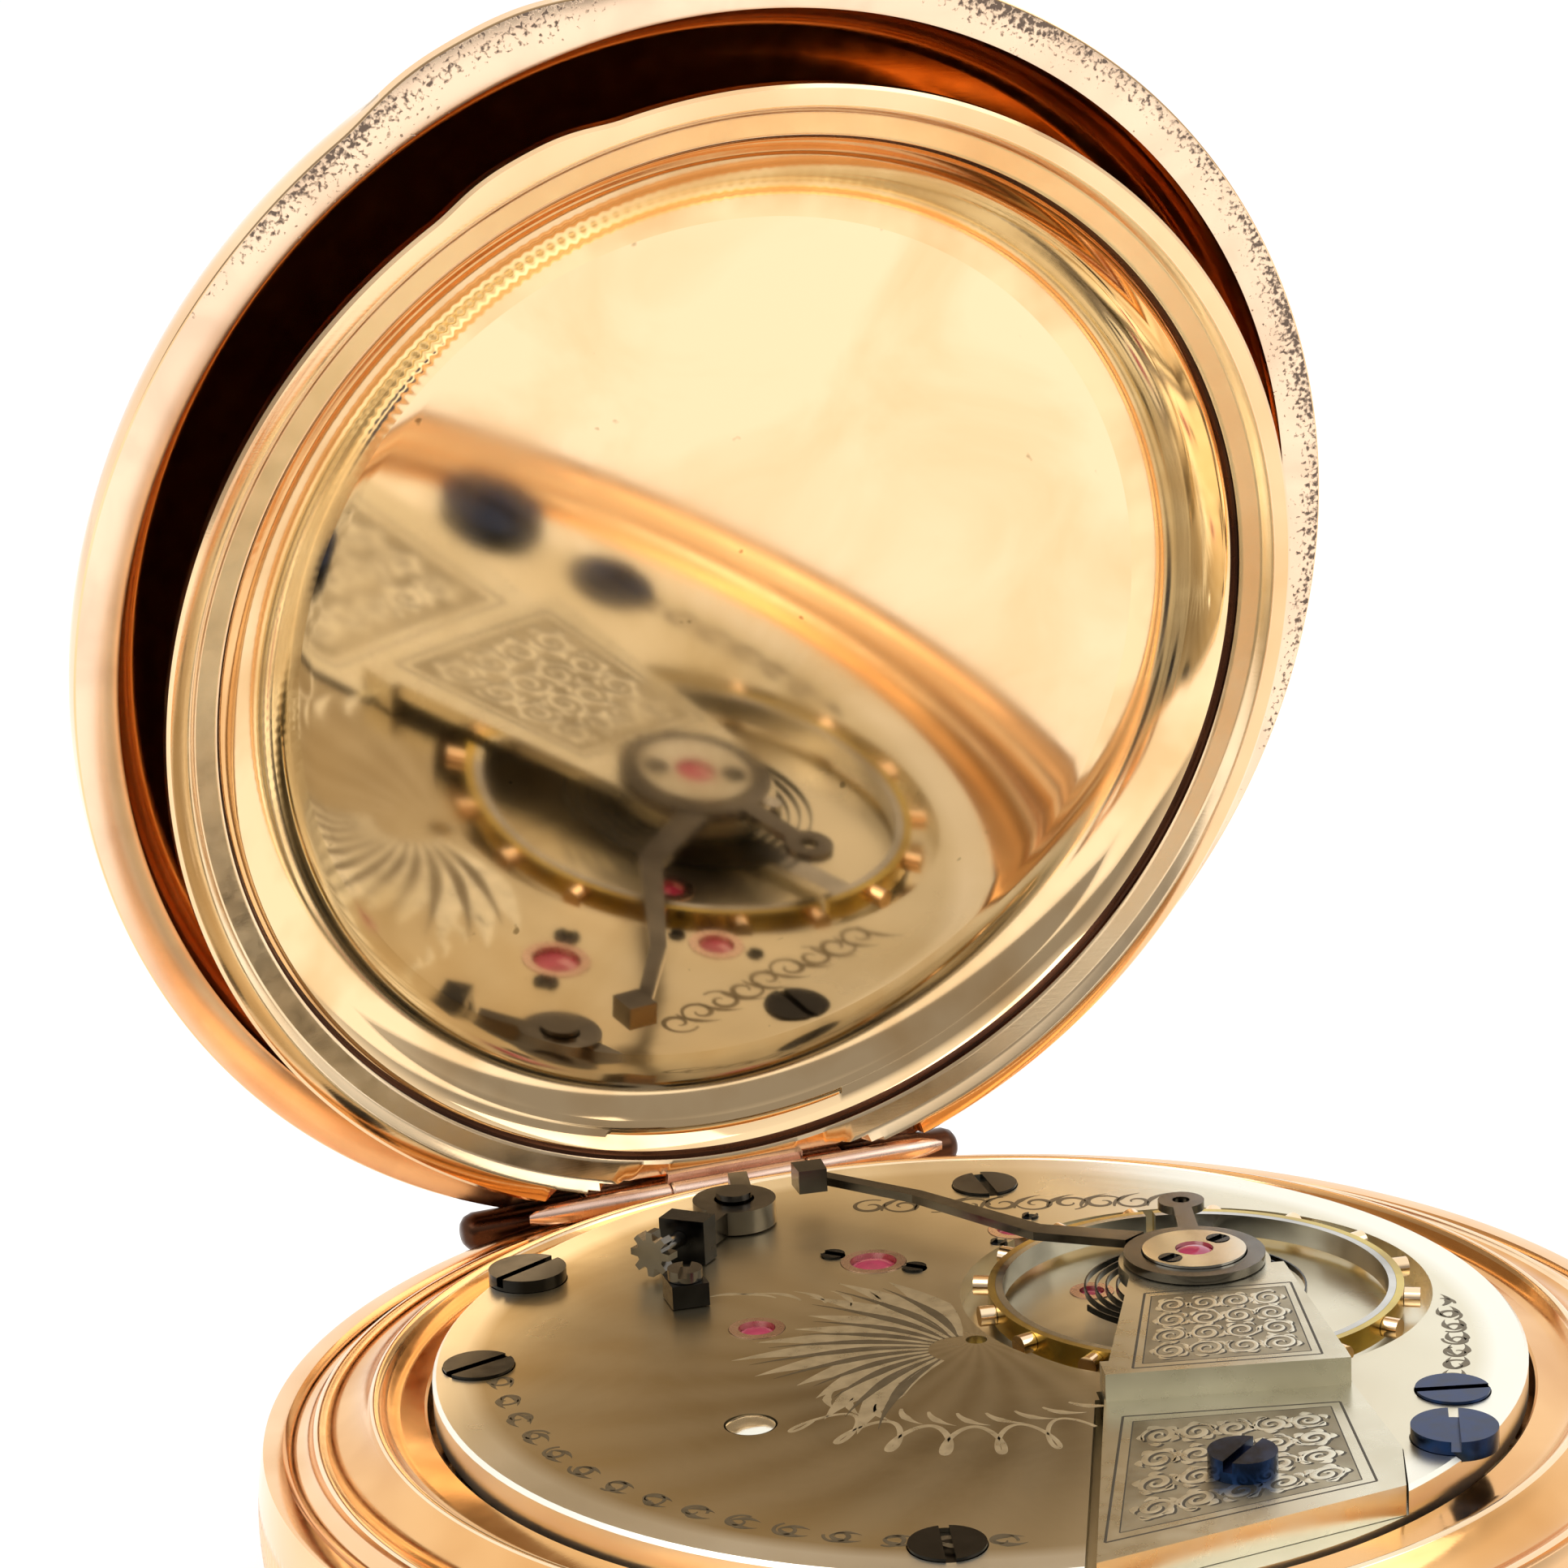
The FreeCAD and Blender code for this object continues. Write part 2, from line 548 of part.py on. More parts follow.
def balance_cap():
    """Cap setting with its end stone on the cock's head."""
    setting = rod(BALANCE, 2.05, COCK_Z1 + GAP, 13.72).cut(rod(BALANCE, 0.76, 13.3, 15))
    for centre in cap_screw_places():
        setting = setting.cut(rod(centre, 0.48, 13.4, 15))
    out("cap_setting", setting)
    out("cap_jewel", domed(BALANCE, 0.74, 13.31, 13.78))


def cap_screw_places():
    return [at_angle(BALANCE, 1.42, a) for a in (20, 200)]


def regulator():
    """Index ring on the cap setting, with a long tapering pointer."""
    index = ring(BALANCE, 2.8, 2.1, 13.25, 13.6)
    pointer = ngon([(8.1, 3.0), (5.3, 5.6), (2.9, 12.0), (0.2, 16.5), (0.75, 16.75), (3.5, 12.3),
                    (6.0, 6.3), (9.2, 3.5)], 13.25, 13.6).cut(rod(BALANCE, 2.4, 13, 14))
    block_end = ngon([(-0.5, 15.9), (0.7, 15.7), (1.0, 17.0), (-0.3, 17.2)], 13.0, 14.0)
    eye = rod(TAIL, 0.95, 13.25, 13.6)
    neck = ngon([(10.6, 3.2), (11.4, 3.0), (12.4, 5.5), (11.7, 5.7)], 13.25, 13.6)
    shape = index.multiFuse([pointer, block_end, eye, neck]).cut(rod(TAIL, 0.36, 13, 14))
    out("regulator", shape.removeSplitter())


def micrometer():
    """Fine-adjustment group beside the pointer's end: spring loop, block, screw, clamp."""
    loop_post = rod(POSTS[0], 0.4, 11.02, 13.2)
    loop_post = loop_post.fuse(rod(POSTS[0], 0.75, 13.2, 13.45))
    loop = ring(POSTS[0], 1.75, 0.85, 12.1, 13.1)
    tail = ngon([(-4.6, 15.9), (-4.0, 15.2), (-5.5, 13.9), (-6.0, 14.5)], 12.1, 13.1)
    neck = ngon([(-2.7, 18.0), (-1.9, 17.7), (-1.2, 20.0), (-2.0, 20.2)], 12.1, 12.9)
    out("micrometer_spring", loop.fuse(tail).fuse(neck).removeSplitter())
    nut = ngon([(-7.6, 13.9), (-6.2, 12.5), (-5.4, 13.2), (-6.7, 14.7)], 12.05, 13.9)
    nut = nut.cut(ngon([(-6.1, 14.6), (-5.6, 14.0), (-3.0, 16.0), (-4.0, 16.5)], 12.0, 13.2))
    nut = nut.fuse(rod(POSTS[1], 0.4, 11.02, 12.1)).removeSplitter()
    axis = V(-0.83, -0.55, 0)
    start = V(-7.4, 13.0, 13.1)
    nut = nut.cut(Part.makeCylinder(0.34, 6, start - axis * 3, axis))
    thread = Part.makeCylinder(0.32, 2.6, start - axis * 1.6, axis)
    head = star_head(start + axis * 1.0, axis)
    clamp = ngon([(-9.2, 8.5), (-7.7, 8.3), (-7.5, 9.9), (-9.0, 10.1)], 12.05, 13.0)
    clamp = clamp.cut(rod(POSTS[2], 0.45, 11, 14))
    out("micrometer_blocks", nut, clamp)
    clamp_screw = slotted_screw(POSTS[2], 0.7, 13.02, 0.45, 0.38, 1.9, 60)
    out("micrometer_screws", thread.fuse(head).removeSplitter(), loop_post.removeSplitter(), clamp_screw)


def star_head(base, axis):
    """Capstan head of the micrometer screw: a disc with eight notches."""
    points = [at_angle((0, 0), r, a) for r, a in gear_outline(8, 0.95, 0.62, 0.0)]
    head = ngon(points, 0, 0.6)
    head.rotate(V(0, 0, 0), Y_AXIS, 90)
    head.rotate(V(0, 0, 0), Z_AXIS, math.degrees(math.atan2(axis.y, axis.x)))
    head.translate(base)
    return head


def balance():
    """Bimetallic rim, arms, timing screws, staff and roller."""
    gaps = []
    for degrees in (75, 255):
        mid = at_angle(BALANCE, 7.9, degrees)
        cut = block(-0.6, 0.6, -0.2, 0.2, 11, 13)
        cut.rotate(V(0, 0, 0), Z_AXIS, degrees)
        cut.translate(V(mid[0], mid[1], 0))
        gaps.append(cut)
    brass = ring(BALANCE, 8.2, 7.9, 11.45, 12.35).cut(gaps[0]).cut(gaps[1])
    out("balance_rim", *brass.Solids)
    steel = ring(BALANCE, 7.9 - GAP, 7.6, 11.45, 12.35).cut(gaps[0]).cut(gaps[1])
    bar = block(-7.7, 7.7, -0.55, 0.55, 11.45, 11.8)
    bar.rotate(V(0, 0, 0), Z_AXIS, 60)
    bar.translate(V(BALANCE[0], BALANCE[1], 0))
    wheel = steel.fuse(bar).fuse(rod(BALANCE, 1.1, 11.45, 11.8)).cut(rod(BALANCE, 0.45 + GAP, 11, 13))
    out("balance_arms", wheel.removeSplitter())
    screws = []
    for i in range(16):
        degrees = 11.25 + i * 22.5
        foot = at_angle(BALANCE, 8.2 + GAP, degrees)
        direction = V(math.cos(math.radians(degrees)), math.sin(math.radians(degrees)), 0)
        screws.append(Part.makeCylinder(0.4, 0.62, V(foot[0], foot[1], 11.9), direction))
    out("balance_screws", *screws)
    staff = arbor(BALANCE, [(0.12, 7.75, 8.1), (0.3, 8.1, 9.0), (0.45, 9.0, 12.35), (0.12, 12.35, 12.95)])
    table = ring(BALANCE, 1.5, 0.45 + GAP, 9.05, 9.35)
    pin = rod(at_angle(BALANCE, 1.2, heading(BALANCE, FORK)), 0.22, 8.6, 9.05)
    out("roller", table.fuse(pin).removeSplitter())
    out("balance_staff", staff, ring(BALANCE, 0.8, 0.45 + GAP, 11.95, 12.3))
    out("hairspring", spiral(BALANCE, 0.95, 0.42, 0.07, 18, 12.0, 12.25))
    stud = rod(STUD, 0.34, COCK_Z0 - 0.3, COCK_Z1 + 0.02)
    out("hairspring_stud", stud)


def potence():
    """Bracket under the top plate for the lower balance pivot."""
    shape = ngon([(12.3, -1.2), (15.2, -1.2), (15.2, 2.4), (12.3, 2.4)], 7.4, TOP_Z0 - GAP)
    shape = shape.fuse(ngon([(8.9, -0.4), (12.5, -1.0), (12.5, 2.2), (8.9, 1.6)], 7.4, 8.0))
    shape = shape.fuse(rod(BALANCE, 1.1, 7.4, 8.0)).removeSplitter()
    out("potence", shape.cut(rod(BALANCE, 0.2, 7, 8.2)))


def fork():
    """Lever and pallet arms, a little short of the impulse pin and the escape teeth."""
    to_balance = heading(FORK, BALANCE)
    to_escape = heading(FORK, ESCAPE)
    tip = at_angle(FORK, 2.95, to_balance)
    side = to_balance + 90
    lever = ngon([at_angle(FORK, 0.5, side), at_angle(FORK, 0.5, side + 180),
                  at_angle(tip, 0.35, side + 180), at_angle(tip, 0.35, side)], 8.6, 8.85)
    arms = []
    stones = []
    for turn in (-62, 62):
        end = at_angle(FORK, 2.2, to_escape + turn)
        across = to_escape + turn + 90
        arms.append(ngon([at_angle(FORK, 0.4, across), at_angle(FORK, 0.4, across + 180),
                          at_angle(end, 0.3, across + 180), at_angle(end, 0.3, across)], 8.6, 8.85))
        root = at_angle(end, 0.0, to_escape)
        nose = at_angle(end, 0.4, to_escape)
        stones.append(ngon([at_angle(root, 0.22, to_escape + 90), at_angle(root, 0.22, to_escape - 90),
                            at_angle(nose, 0.22, to_escape - 90), at_angle(nose, 0.22, to_escape + 90)],
                           8.87, 9.12))
    pivot = arbor(FORK, [(0.12, 6.0, 6.8), (0.3, 6.8, 10.4), (0.12, 10.4, 10.95)])
    body = lever.fuse(arms[0]).fuse(arms[1]).fuse(rod(FORK, 0.75, 8.6, 8.85))
    out("pallet_fork", body.cut(rod(FORK, 0.3 + GAP, 8, 9)).removeSplitter(), pivot)
    out("pallet_stones", *stones)


def centre_train():
    """Barrel, centre, third, fourth and escape groups, phased so every pair is in mesh."""
    to_third = heading((0, 0), THIRD)
    to_barrel = heading((0, 0), BARREL)
    third_to_fourth = heading(THIRD, FOURTH)
    fourth_to_escape = heading(FOURTH, ESCAPE)
    drum = gear(BARREL, 60, 9.12, 8.75, 8.5, 9.2, to_barrel, 1.06)
    wall = ring(BARREL, 8.6, 8.1, 7.0, 8.5).fuse(ring(BARREL, 8.6, 1.06, 6.8, 7.0))
    out("mainspring_barrel", drum.fuse(wall).removeSplitter())
    out("mainspring", spiral(BARREL, 3.2, 0.62, 0.18, 15, 7.1, 8.4))
    centre_wheel = crossed_wheel((0, 0), 48, 7.88, 7.45, 9.5, 9.75, to_third, 0.61)
    pinion = gear((0, 0), 16, 2.42, 1.95, 6.9, 9.3, to_barrel + 11.25, 0.0)
    stem = arbor((0, 0), [(0.4, 2.0, 6.8), (0.8, 6.8, 6.9), (0.6, 9.3, 10.5), (0.4, 10.5, 11.6)])
    out("centre_wheel", centre_wheel, pinion.multiFuse(stem.Solids).removeSplitter())
    wheel = crossed_wheel(THIRD, 60, 7.48, 7.1, 10.1, 10.35, third_to_fourth, 0.41)
    leaves = gear(THIRD, 6, 0.97, 0.55, 9.35, 9.9, to_third + 180 + 30, 0.0)
    stem = arbor(THIRD, [(0.12, 6.0, 6.8), (0.35, 6.8, 9.35), (0.4, 9.9, 10.5), (0.12, 10.5, 11.4)])
    out("third_wheel", wheel, leaves.multiFuse(stem.Solids).removeSplitter())
    wheel = crossed_wheel(FOURTH, 60, 6.1, 5.78, 7.2, 7.45, fourth_to_escape, 0.36)
    leaves = gear(FOURTH, 8, 0.9, 0.52, 9.95, 10.45, third_to_fourth + 180 + 22.5, 0.0)
    stem = arbor(FOURTH, [(0.2, 3.1, 6.8), (0.35, 6.8, 9.95), (0.12, 10.45, 11.4)])
    out("fourth_wheel", wheel, leaves.multiFuse(stem.Solids).removeSplitter())
    leaves = gear(ESCAPE, 6, 0.64, 0.36, 6.95, 7.9, fourth_to_escape + 180 + 30, 0.0)
    stem = arbor(ESCAPE, [(0.12, 6.0, 6.95), (0.3, 7.9, 10.5), (0.12, 10.5, 11.4)])
    out("escape_wheel", escape_wheel(), leaves.multiFuse(stem.Solids).removeSplitter())


def escape_wheel():
    """Fifteen pointed teeth that lean forward, on a spoked rim."""
    points = []
    for i in range(15):
        start = i * 24.0
        points.append(at_angle(ESCAPE, 3.1, start))
        points.append(at_angle(ESCAPE, 3.95, start + 9))
        points.append(at_angle(ESCAPE, 3.95, start + 12))
        points.append(at_angle(ESCAPE, 3.1, start + 9))
    wheel = ngon(points, 8.87, 9.12).cut(rod(ESCAPE, 2.7, 8, 10))
    for turn in (0, 90):
        bar = block(-2.8, 2.8, -0.3, 0.3, 8.87, 9.12)
        bar.rotate(V(0, 0, 0), Z_AXIS, turn)
        bar.translate(V(ESCAPE[0], ESCAPE[1], 0))
        wheel = wheel.fuse(bar)
    wheel = wheel.fuse(rod(ESCAPE, 0.7, 8.87, 9.12))
    return wheel.cut(rod(ESCAPE, 0.3 + GAP, 8, 10)).removeSplitter()


def winding_work():
    to_ratchet = heading(CROWN_WHEEL, BARREL)
    wheel = gear(CROWN_WHEEL, 36, 6.05, 5.65, 4.25, 4.75, to_ratchet, 0.0)
    teeth = []
    for i in range(36):
        tooth = block(5.0, 5.6, -0.17, 0.17, 4.75, 5.05)
        tooth.rotate(V(0, 0, 0), Z_AXIS, i * 10.0)
        tooth.translate(V(CROWN_WHEEL[0], CROWN_WHEEL[1], 0))
        teeth.append(tooth)
    wheel = wheel.multiFuse(teeth).cut(rod(CROWN_WHEEL, 1.0, 4, 6)).removeSplitter()
    out("crown_wheel", wheel)
    stud = arbor(CROWN_WHEEL, [(0.5, 5.33, 6.1), (0.95, 4.2, 5.33)])
    phase = to_ratchet + 180 + 180.0 / 42
    ratchet = gear(BARREL, 42, 7.05, 6.65, 4.25, 4.75, phase, 0.95 + GAP)
    out("ratchet_wheel", ratchet)
    post = arbor(BARREL, [(0.95, 4.25, 6.78), (1.0, 6.78, 9.4), (2.9, 7.2, 8.3), (1.0, 9.3, 10.5),
                          (0.92, 10.5, 11.9)])
    out("barrel_arbor", post.fuse(domed(BARREL, 0.92, 11.8, 12.25)).removeSplitter())
    nose = at_angle(BARREL, 7.3, heading(BARREL, CLICK))
    side = heading(BARREL, CLICK) + 90
    pawl = ngon([at_angle(CLICK, 0.7, side), at_angle(CLICK, 0.9, side - 90),
                 at_angle(CLICK, 0.7, side + 180), nose], 4.3, 4.7)
    pawl = pawl.fuse(rod(CLICK, 0.75, 4.3, 4.7)).cut(rod(CLICK, 0.42, 4, 5)).removeSplitter()
    out("click", pawl)
    click_stud = rod(CLICK, 0.38, 4.25, MAIN_Z0 - GAP)
    out("wheel_studs", stud, click_stud, rod(MINUTE_WHEEL, 0.38, 4.1, 6.1))


def motion_work():
    """Cannon pinion, minute wheel and hour wheel under the dial."""
    to_minute = heading((0, 0), MINUTE_WHEEL)
    cannon = rod((0, 0), 0.75, 2.05, 5.2).fuse(gear((0, 0), 12, 1.17, 0.9, 4.55, 5.2, to_minute))
    out("cannon_pinion", cannon.cut(rod((0, 0), 0.43, 1, 6)).removeSplitter())
    wheel = gear(MINUTE_WHEEL, 36, 3.34, 3.1, 4.75, 5.0, to_minute + 180 + 5, 0.0)
    leaves = gear(MINUTE_WHEEL, 10, 0.97, 0.66, 4.12, 4.75, to_minute + 180, 0.0)
    out("minute_wheel", wheel.fuse(leaves).cut(rod(MINUTE_WHEEL, 0.42, 4, 6)).removeSplitter())
    hour = ring((0, 0), 1.15, 0.8, 2.6, 4.4).fuse(gear((0, 0), 40, 3.55, 3.3, 4.15, 4.4, to_minute + 4.5, 0.8))
    out("hour_wheel", hour.removeSplitter())


def dial_and_hands():
    dial = rod((0, 0), DIAL_R, DIAL_Z0, DIAL_Z1)
    sink = rod(FOURTH, 5.2, DIAL_Z0 - 1, DIAL_Z0 + 0.12)
    dial = dial.cut(sink).cut(rod((0, 0), 1.35, 3, 5)).cut(rod(FOURTH, 0.4, 3, 5))
    for degrees in (15, 135, 255):
        dial = dial.fuse(rod(at_angle((0, 0), 18.6, degrees), 0.5, DIAL_Z1 - 0.1, 6.0))
    out("dial", dial.removeSplitter())
    out("minute_hand", hand(2.1, 2.3, 17.0, 1.1, 0.75 + GAP, -38.0, 0.5))
    out("hour_hand", hand(2.65, 2.85, 11.2, 1.6, 1.15 + GAP, 214.4, 0.75))
    tip = at_angle(FOURTH, 4.2, 140)
    tail = at_angle(FOURTH, 1.6, 320)
    seconds = ngon([at_angle(tail, 0.16, 230), at_angle(tip, 0.06, 230), at_angle(tip, 0.06, 50),
                    at_angle(tail, 0.16, 50)], 3.15, 3.3)
    seconds = seconds.fuse(rod(FOURTH, 0.5, 3.15, 3.3)).cut(rod(FOURTH, 0.2 + GAP, 3, 3.35))
    out("seconds_hand", seconds.removeSplitter())


def hand(z0, z1, length, boss, bore, degrees, width):
    """Spade-style hand pointing along degrees."""
    blade = [(0, -width * 0.4), (length * 0.62, -width * 0.35), (length * 0.72, -width * 1.5),
             (length * 0.8, -width * 0.5), (length, 0), (length * 0.8, width * 0.5),
             (length * 0.72, width * 1.5), (length * 0.62, width * 0.35), (0, width * 0.4)]
    shape = ngon(blade, z0, z1)
    shape.rotate(V(0, 0, 0), Z_AXIS, degrees)
    return shape.fuse(rod((0, 0), boss, z0, z1)).cut(rod((0, 0), bore, 1, 4)).removeSplitter()


def main():
    os.makedirs("parts", exist_ok=True)
    case_centre()
    out("hinge_boxes", hinge_box(BACK_HINGE_Z, 1), hinge_box(FRONT_HINGE_Z, -1))
    back_cover()
    cuvette()
    front_cover()
    hinge_pins()
    bezel_and_crystal()
    lid_springs()
    pendant()
    bow()
    crown_and_stem()
    main_plate()
    pillars()
    top_plate()
    plate_screws()
    jewels()
    balance_cock()
    balance_cap()
    regulator()
    micrometer()
    balance()
    potence()
    fork()
    centre_train()
    winding_work()
    motion_work()
    dial_and_hands()


main()
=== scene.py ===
"""Visual model of the hunter pocket watch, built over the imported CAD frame.

Lengths are in millimetres and become metres where a mesh is made; shader nodes and lights work
in metres. The watch lies on its front cover: +Z points to the back of the watch, +Y to the hinges
and -Y to the pendant.
"""

import json
import math
import random

import bmesh
import bpy
from mathutils import Matrix, Vector


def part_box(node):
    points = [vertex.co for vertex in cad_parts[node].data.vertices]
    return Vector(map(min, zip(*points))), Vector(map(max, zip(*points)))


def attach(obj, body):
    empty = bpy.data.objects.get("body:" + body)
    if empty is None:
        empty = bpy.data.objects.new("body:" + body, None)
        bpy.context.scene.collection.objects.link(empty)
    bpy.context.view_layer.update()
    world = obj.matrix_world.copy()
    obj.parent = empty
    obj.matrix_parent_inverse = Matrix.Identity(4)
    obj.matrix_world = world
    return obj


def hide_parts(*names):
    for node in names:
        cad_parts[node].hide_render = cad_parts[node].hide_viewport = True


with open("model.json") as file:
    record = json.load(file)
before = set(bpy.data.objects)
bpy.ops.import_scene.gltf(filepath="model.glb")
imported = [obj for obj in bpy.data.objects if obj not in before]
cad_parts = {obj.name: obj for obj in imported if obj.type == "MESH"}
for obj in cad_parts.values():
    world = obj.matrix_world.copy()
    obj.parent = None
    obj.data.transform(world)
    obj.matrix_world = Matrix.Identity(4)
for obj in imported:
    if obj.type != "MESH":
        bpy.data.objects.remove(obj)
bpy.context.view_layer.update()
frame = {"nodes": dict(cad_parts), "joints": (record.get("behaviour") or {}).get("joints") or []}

MM = 0.001


# ------------------------------------------------------------ places from the frame

def hinge_axis(joint_name):
    """(y, z) of a lid's hinge axis, which runs along X."""
    joint = next(j for j in frame["joints"] if j["name"] == joint_name)
    return tuple(round(c / MM, 3) for c in joint["pos_m"][1:])


def middle_of(node):
    """(x, y) of a round CAD piece's axis."""
    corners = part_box(node)
    return tuple(round((corners[0][i] + corners[1][i]) / 2 / MM, 2) for i in (0, 1))


def underside_of(node):
    return round(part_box(node)[0][2] / MM, 2)


def top_of(node):
    return round(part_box(node)[1][2] / MM, 2)


BACK_HINGE = hinge_axis("back_lid_hinge")
CUVETTE_HINGE = hinge_axis("cuvette_hinge")
FRONT_HINGE = hinge_axis("front_lid_hinge")
BALANCE = middle_of("balance_rim")
SECONDS = middle_of("fourth_wheel")
PLATE_TOP = top_of("top_plate")
COCK_TOP = top_of("balance_cock")
DIAL_FACE = underside_of("dial")


# ------------------------------------------------------------ driving dimensions

OPEN_ANGLE = math.radians(78)       # back cover and cuvette from closed to rest
LIP_ANGLE = math.radians(-115)      # thumb lips of both lids
PITTED = math.radians(-35)          # middle of the corroded stretch of the rim
BACK_COVER_R = 28.08
FRONT_COVER_R = 27.9
RAY_START_R = 5.5                   # engine-turned rays begin here on both covers
RAY_COUNT = 60

KNUCKLE_R = 0.85                    # cover hinges
MID_KNUCKLE = 6.2                   # half length of the knuckle on a cover
END_KNUCKLE = 6.3                   # where a fixed knuckle starts
HINGE_HALF = 11.9
HINGE_FLAT = 12.1                   # half width of the flat that a cover leaves for its hinge
HINGE_FLAT_Y = 26.35
BAND_FLAT = 12.4                    # the same flat in the band
BAND_FLAT_Y = 26.1

TUBE_R = 0.5                        # cuvette's hinge
TUBE_HALF = 9.8
TUBE_MID = 3.2
TUBE_GAP = 0.06
TUBE_REACH = 25.75                  # the tubes stay inside this radius of the band
CUVETTE_CHORD_Y = 23.36
PLAIN_TIP = ((0.0, 0.86), (0.08, 1.0))
ROUND_TIP = ((0.0, 0.30), (0.07, 0.58), (0.25, 0.84), (0.6, 1.0))
LONG_TIP = ((0.0, 0.40), (0.3, 0.62), (0.9, 0.86), (2.2, 1.0))

WELL_R = 9.55                       # opening in the plate round the balance
HAIR = 0.004                        # height of an engraved line over the surface
FRINGE_R = 18.3
CHAPTER_R = 20.3                    # outer end of the minute marks
NUMERAL_FOOT_R = 15.2
NUMERAL_HEIGHT = 3.5
NUMERAL_MID_R = 17.0
SECONDS_R = 4.9
SECONDS_SUNK = 0.12                 # depth of the seconds dial in the dial


# ------------------------------------------------------------ materials

def new_material(name):
    material = bpy.data.materials.new(name)
    material.use_nodes = True
    nodes = material.node_tree.nodes
    return material, nodes, material.node_tree.links, nodes["Principled BSDF"]


def object_coords(nodes):
    return nodes.new("ShaderNodeTexCoord").outputs["Object"]


def noise(nodes, links, vector, scale, detail=4.0, distortion=0.0):
    tex = nodes.new("ShaderNodeTexNoise")
    tex.inputs["Scale"].default_value = scale
    tex.inputs["Detail"].default_value = detail
    tex.inputs["Distortion"].default_value = distortion
    links.new(vector, tex.inputs["Vector"])
    return tex.outputs["Fac"]


def ramp(nodes, links, value, stops):
    """Colour ramp from (position, colour) stops."""
    node = nodes.new("ShaderNodeValToRGB")
    elements = node.color_ramp.elements
    while len(elements) < len(stops):
        elements.new(0.5)
    for element, (position, colour) in zip(elements, stops):
        element.position = position
        element.color = (*colour, 1.0)
    links.new(value, node.inputs["Fac"])
    return node.outputs["Color"]


def grey(value):
    return (value, value, value)


def remap(nodes, links, value, low, high, to_low, to_high):
    node = nodes.new("ShaderNodeMapRange")
    for key, number in zip(("From Min", "From Max", "To Min", "To Max"), (low, high, to_low, to_high)):
        node.inputs[key].default_value = number
    links.new(value, node.inputs["Value"])
    return node.outputs["Result"]


def maths(nodes, links, operation, a, b=None):
    node = nodes.new("ShaderNodeMath")
    node.operation = operation
    for socket, value in zip(node.inputs, (a, b)):
        if value is None:
            continue
        if isinstance(value, (int, float)):
            socket.default_value = value
        else:
            links.new(value, socket)
    return node.outputs["Value"]


def mix_colour(nodes, links, factor, a, b):
    node = nodes.new("ShaderNodeMix")
    node.data_type = "RGBA"
    links.new(factor, node.inputs[0])
    for socket, value in ((node.inputs[6], a), (node.inputs[7], b)):
        if isinstance(value, tuple):
            socket.default_value = (*value, 1.0)
        else:
            links.new(value, socket)
    return node.outputs[2]


def stretched(nodes, links, vector, scale, turn=(0.0, 0.0, 0.0)):
    node = nodes.new("ShaderNodeMapping")
    node.inputs["Scale"].default_value = scale
    node.inputs["Rotation"].default_value = turn
    links.new(vector, node.inputs["Vector"])
    return node.outputs["Vector"]


def add_bump(nodes, links, shader, height, strength, distance):
    node = nodes.new("ShaderNodeBump")
    node.inputs["Strength"].default_value = strength
    node.inputs["Distance"].default_value = distance
    links.new(height, node.inputs["Height"])
    links.new(node.outputs["Normal"], shader.inputs["Normal"])


def metal(name, light, dark, rough, wear=0.08, scratch=0.15, grain=900.0):
    """Worn metal: tarnish clouds, uneven polish and fine scratches."""
    material, nodes, links, shader = new_material(name)
    where = object_coords(nodes)
    clouds = noise(nodes, links, where, grain * 0.12, 3.0, 0.3)
    tint = ramp(nodes, links, clouds, [(0.30, dark), (0.62, light)])
    links.new(tint, shader.inputs["Base Color"])
    shader.inputs["Metallic"].default_value = 1.0
    fine = noise(nodes, links, where, grain, 5.0)
    links.new(remap(nodes, links, fine, 0.3, 0.7, rough, rough + wear), shader.inputs["Roughness"])
    lines = noise(nodes, links, stretched(nodes, links, where, (1.0, 14.0, 3.0), (0.3, 0.2, 0.7)), grain, 3.0)
    add_bump(nodes, links, shader, lines, scratch, 0.00001)
    return material


def gold_mirror(name, light, dark, rough):
    """Polished lid gold with water stains, small dark spots and a faint ripple."""
    material, nodes, links, shader = new_material(name)
    where = object_coords(nodes)
    stains = noise(nodes, links, where, 110.0, 5.0, 0.8)
    spots = noise(nodes, links, where, 900.0, 2.0)
    base = ramp(nodes, links, stains, [(0.28, dark), (0.58, light)])
    spot_mask = remap(nodes, links, spots, 0.74, 0.79, 0.0, 0.7)
    links.new(mix_colour(nodes, links, spot_mask, base, (0.24, 0.15, 0.06)), shader.inputs["Base Color"])
    shader.inputs["Metallic"].default_value = 1.0
    links.new(remap(nodes, links, stains, 0.3, 0.6, rough + 0.035, rough), shader.inputs["Roughness"])
    ripple = noise(nodes, links, where, 60.0, 1.0)
    add_bump(nodes, links, shader, ripple, 0.05, 0.0002)
    return material


def radial_coords(nodes, links, where, centre=(0.0, 0.0)):
    """(radius in metres, angle in radians) round a point of the XY plane."""
    parts = nodes.new("ShaderNodeSeparateXYZ")
    links.new(where, parts.inputs[0])
    x = maths(nodes, links, "SUBTRACT", parts.outputs["X"], centre[0] * MM)
    y = maths(nodes, links, "SUBTRACT", parts.outputs["Y"], centre[1] * MM)
    xx = maths(nodes, links, "MULTIPLY", x, x)
    yy = maths(nodes, links, "MULTIPLY", y, y)
    radius = maths(nodes, links, "SQRT", maths(nodes, links, "ADD", xx, yy))
    return radius, maths(nodes, links, "ARCTAN2", y, x)


def facing(nodes, links, angle, towards):
    """1 in the direction of towards, -1 opposite it."""
    return maths(nodes, links, "COSINE", maths(nodes, links, "SUBTRACT", angle, towards))


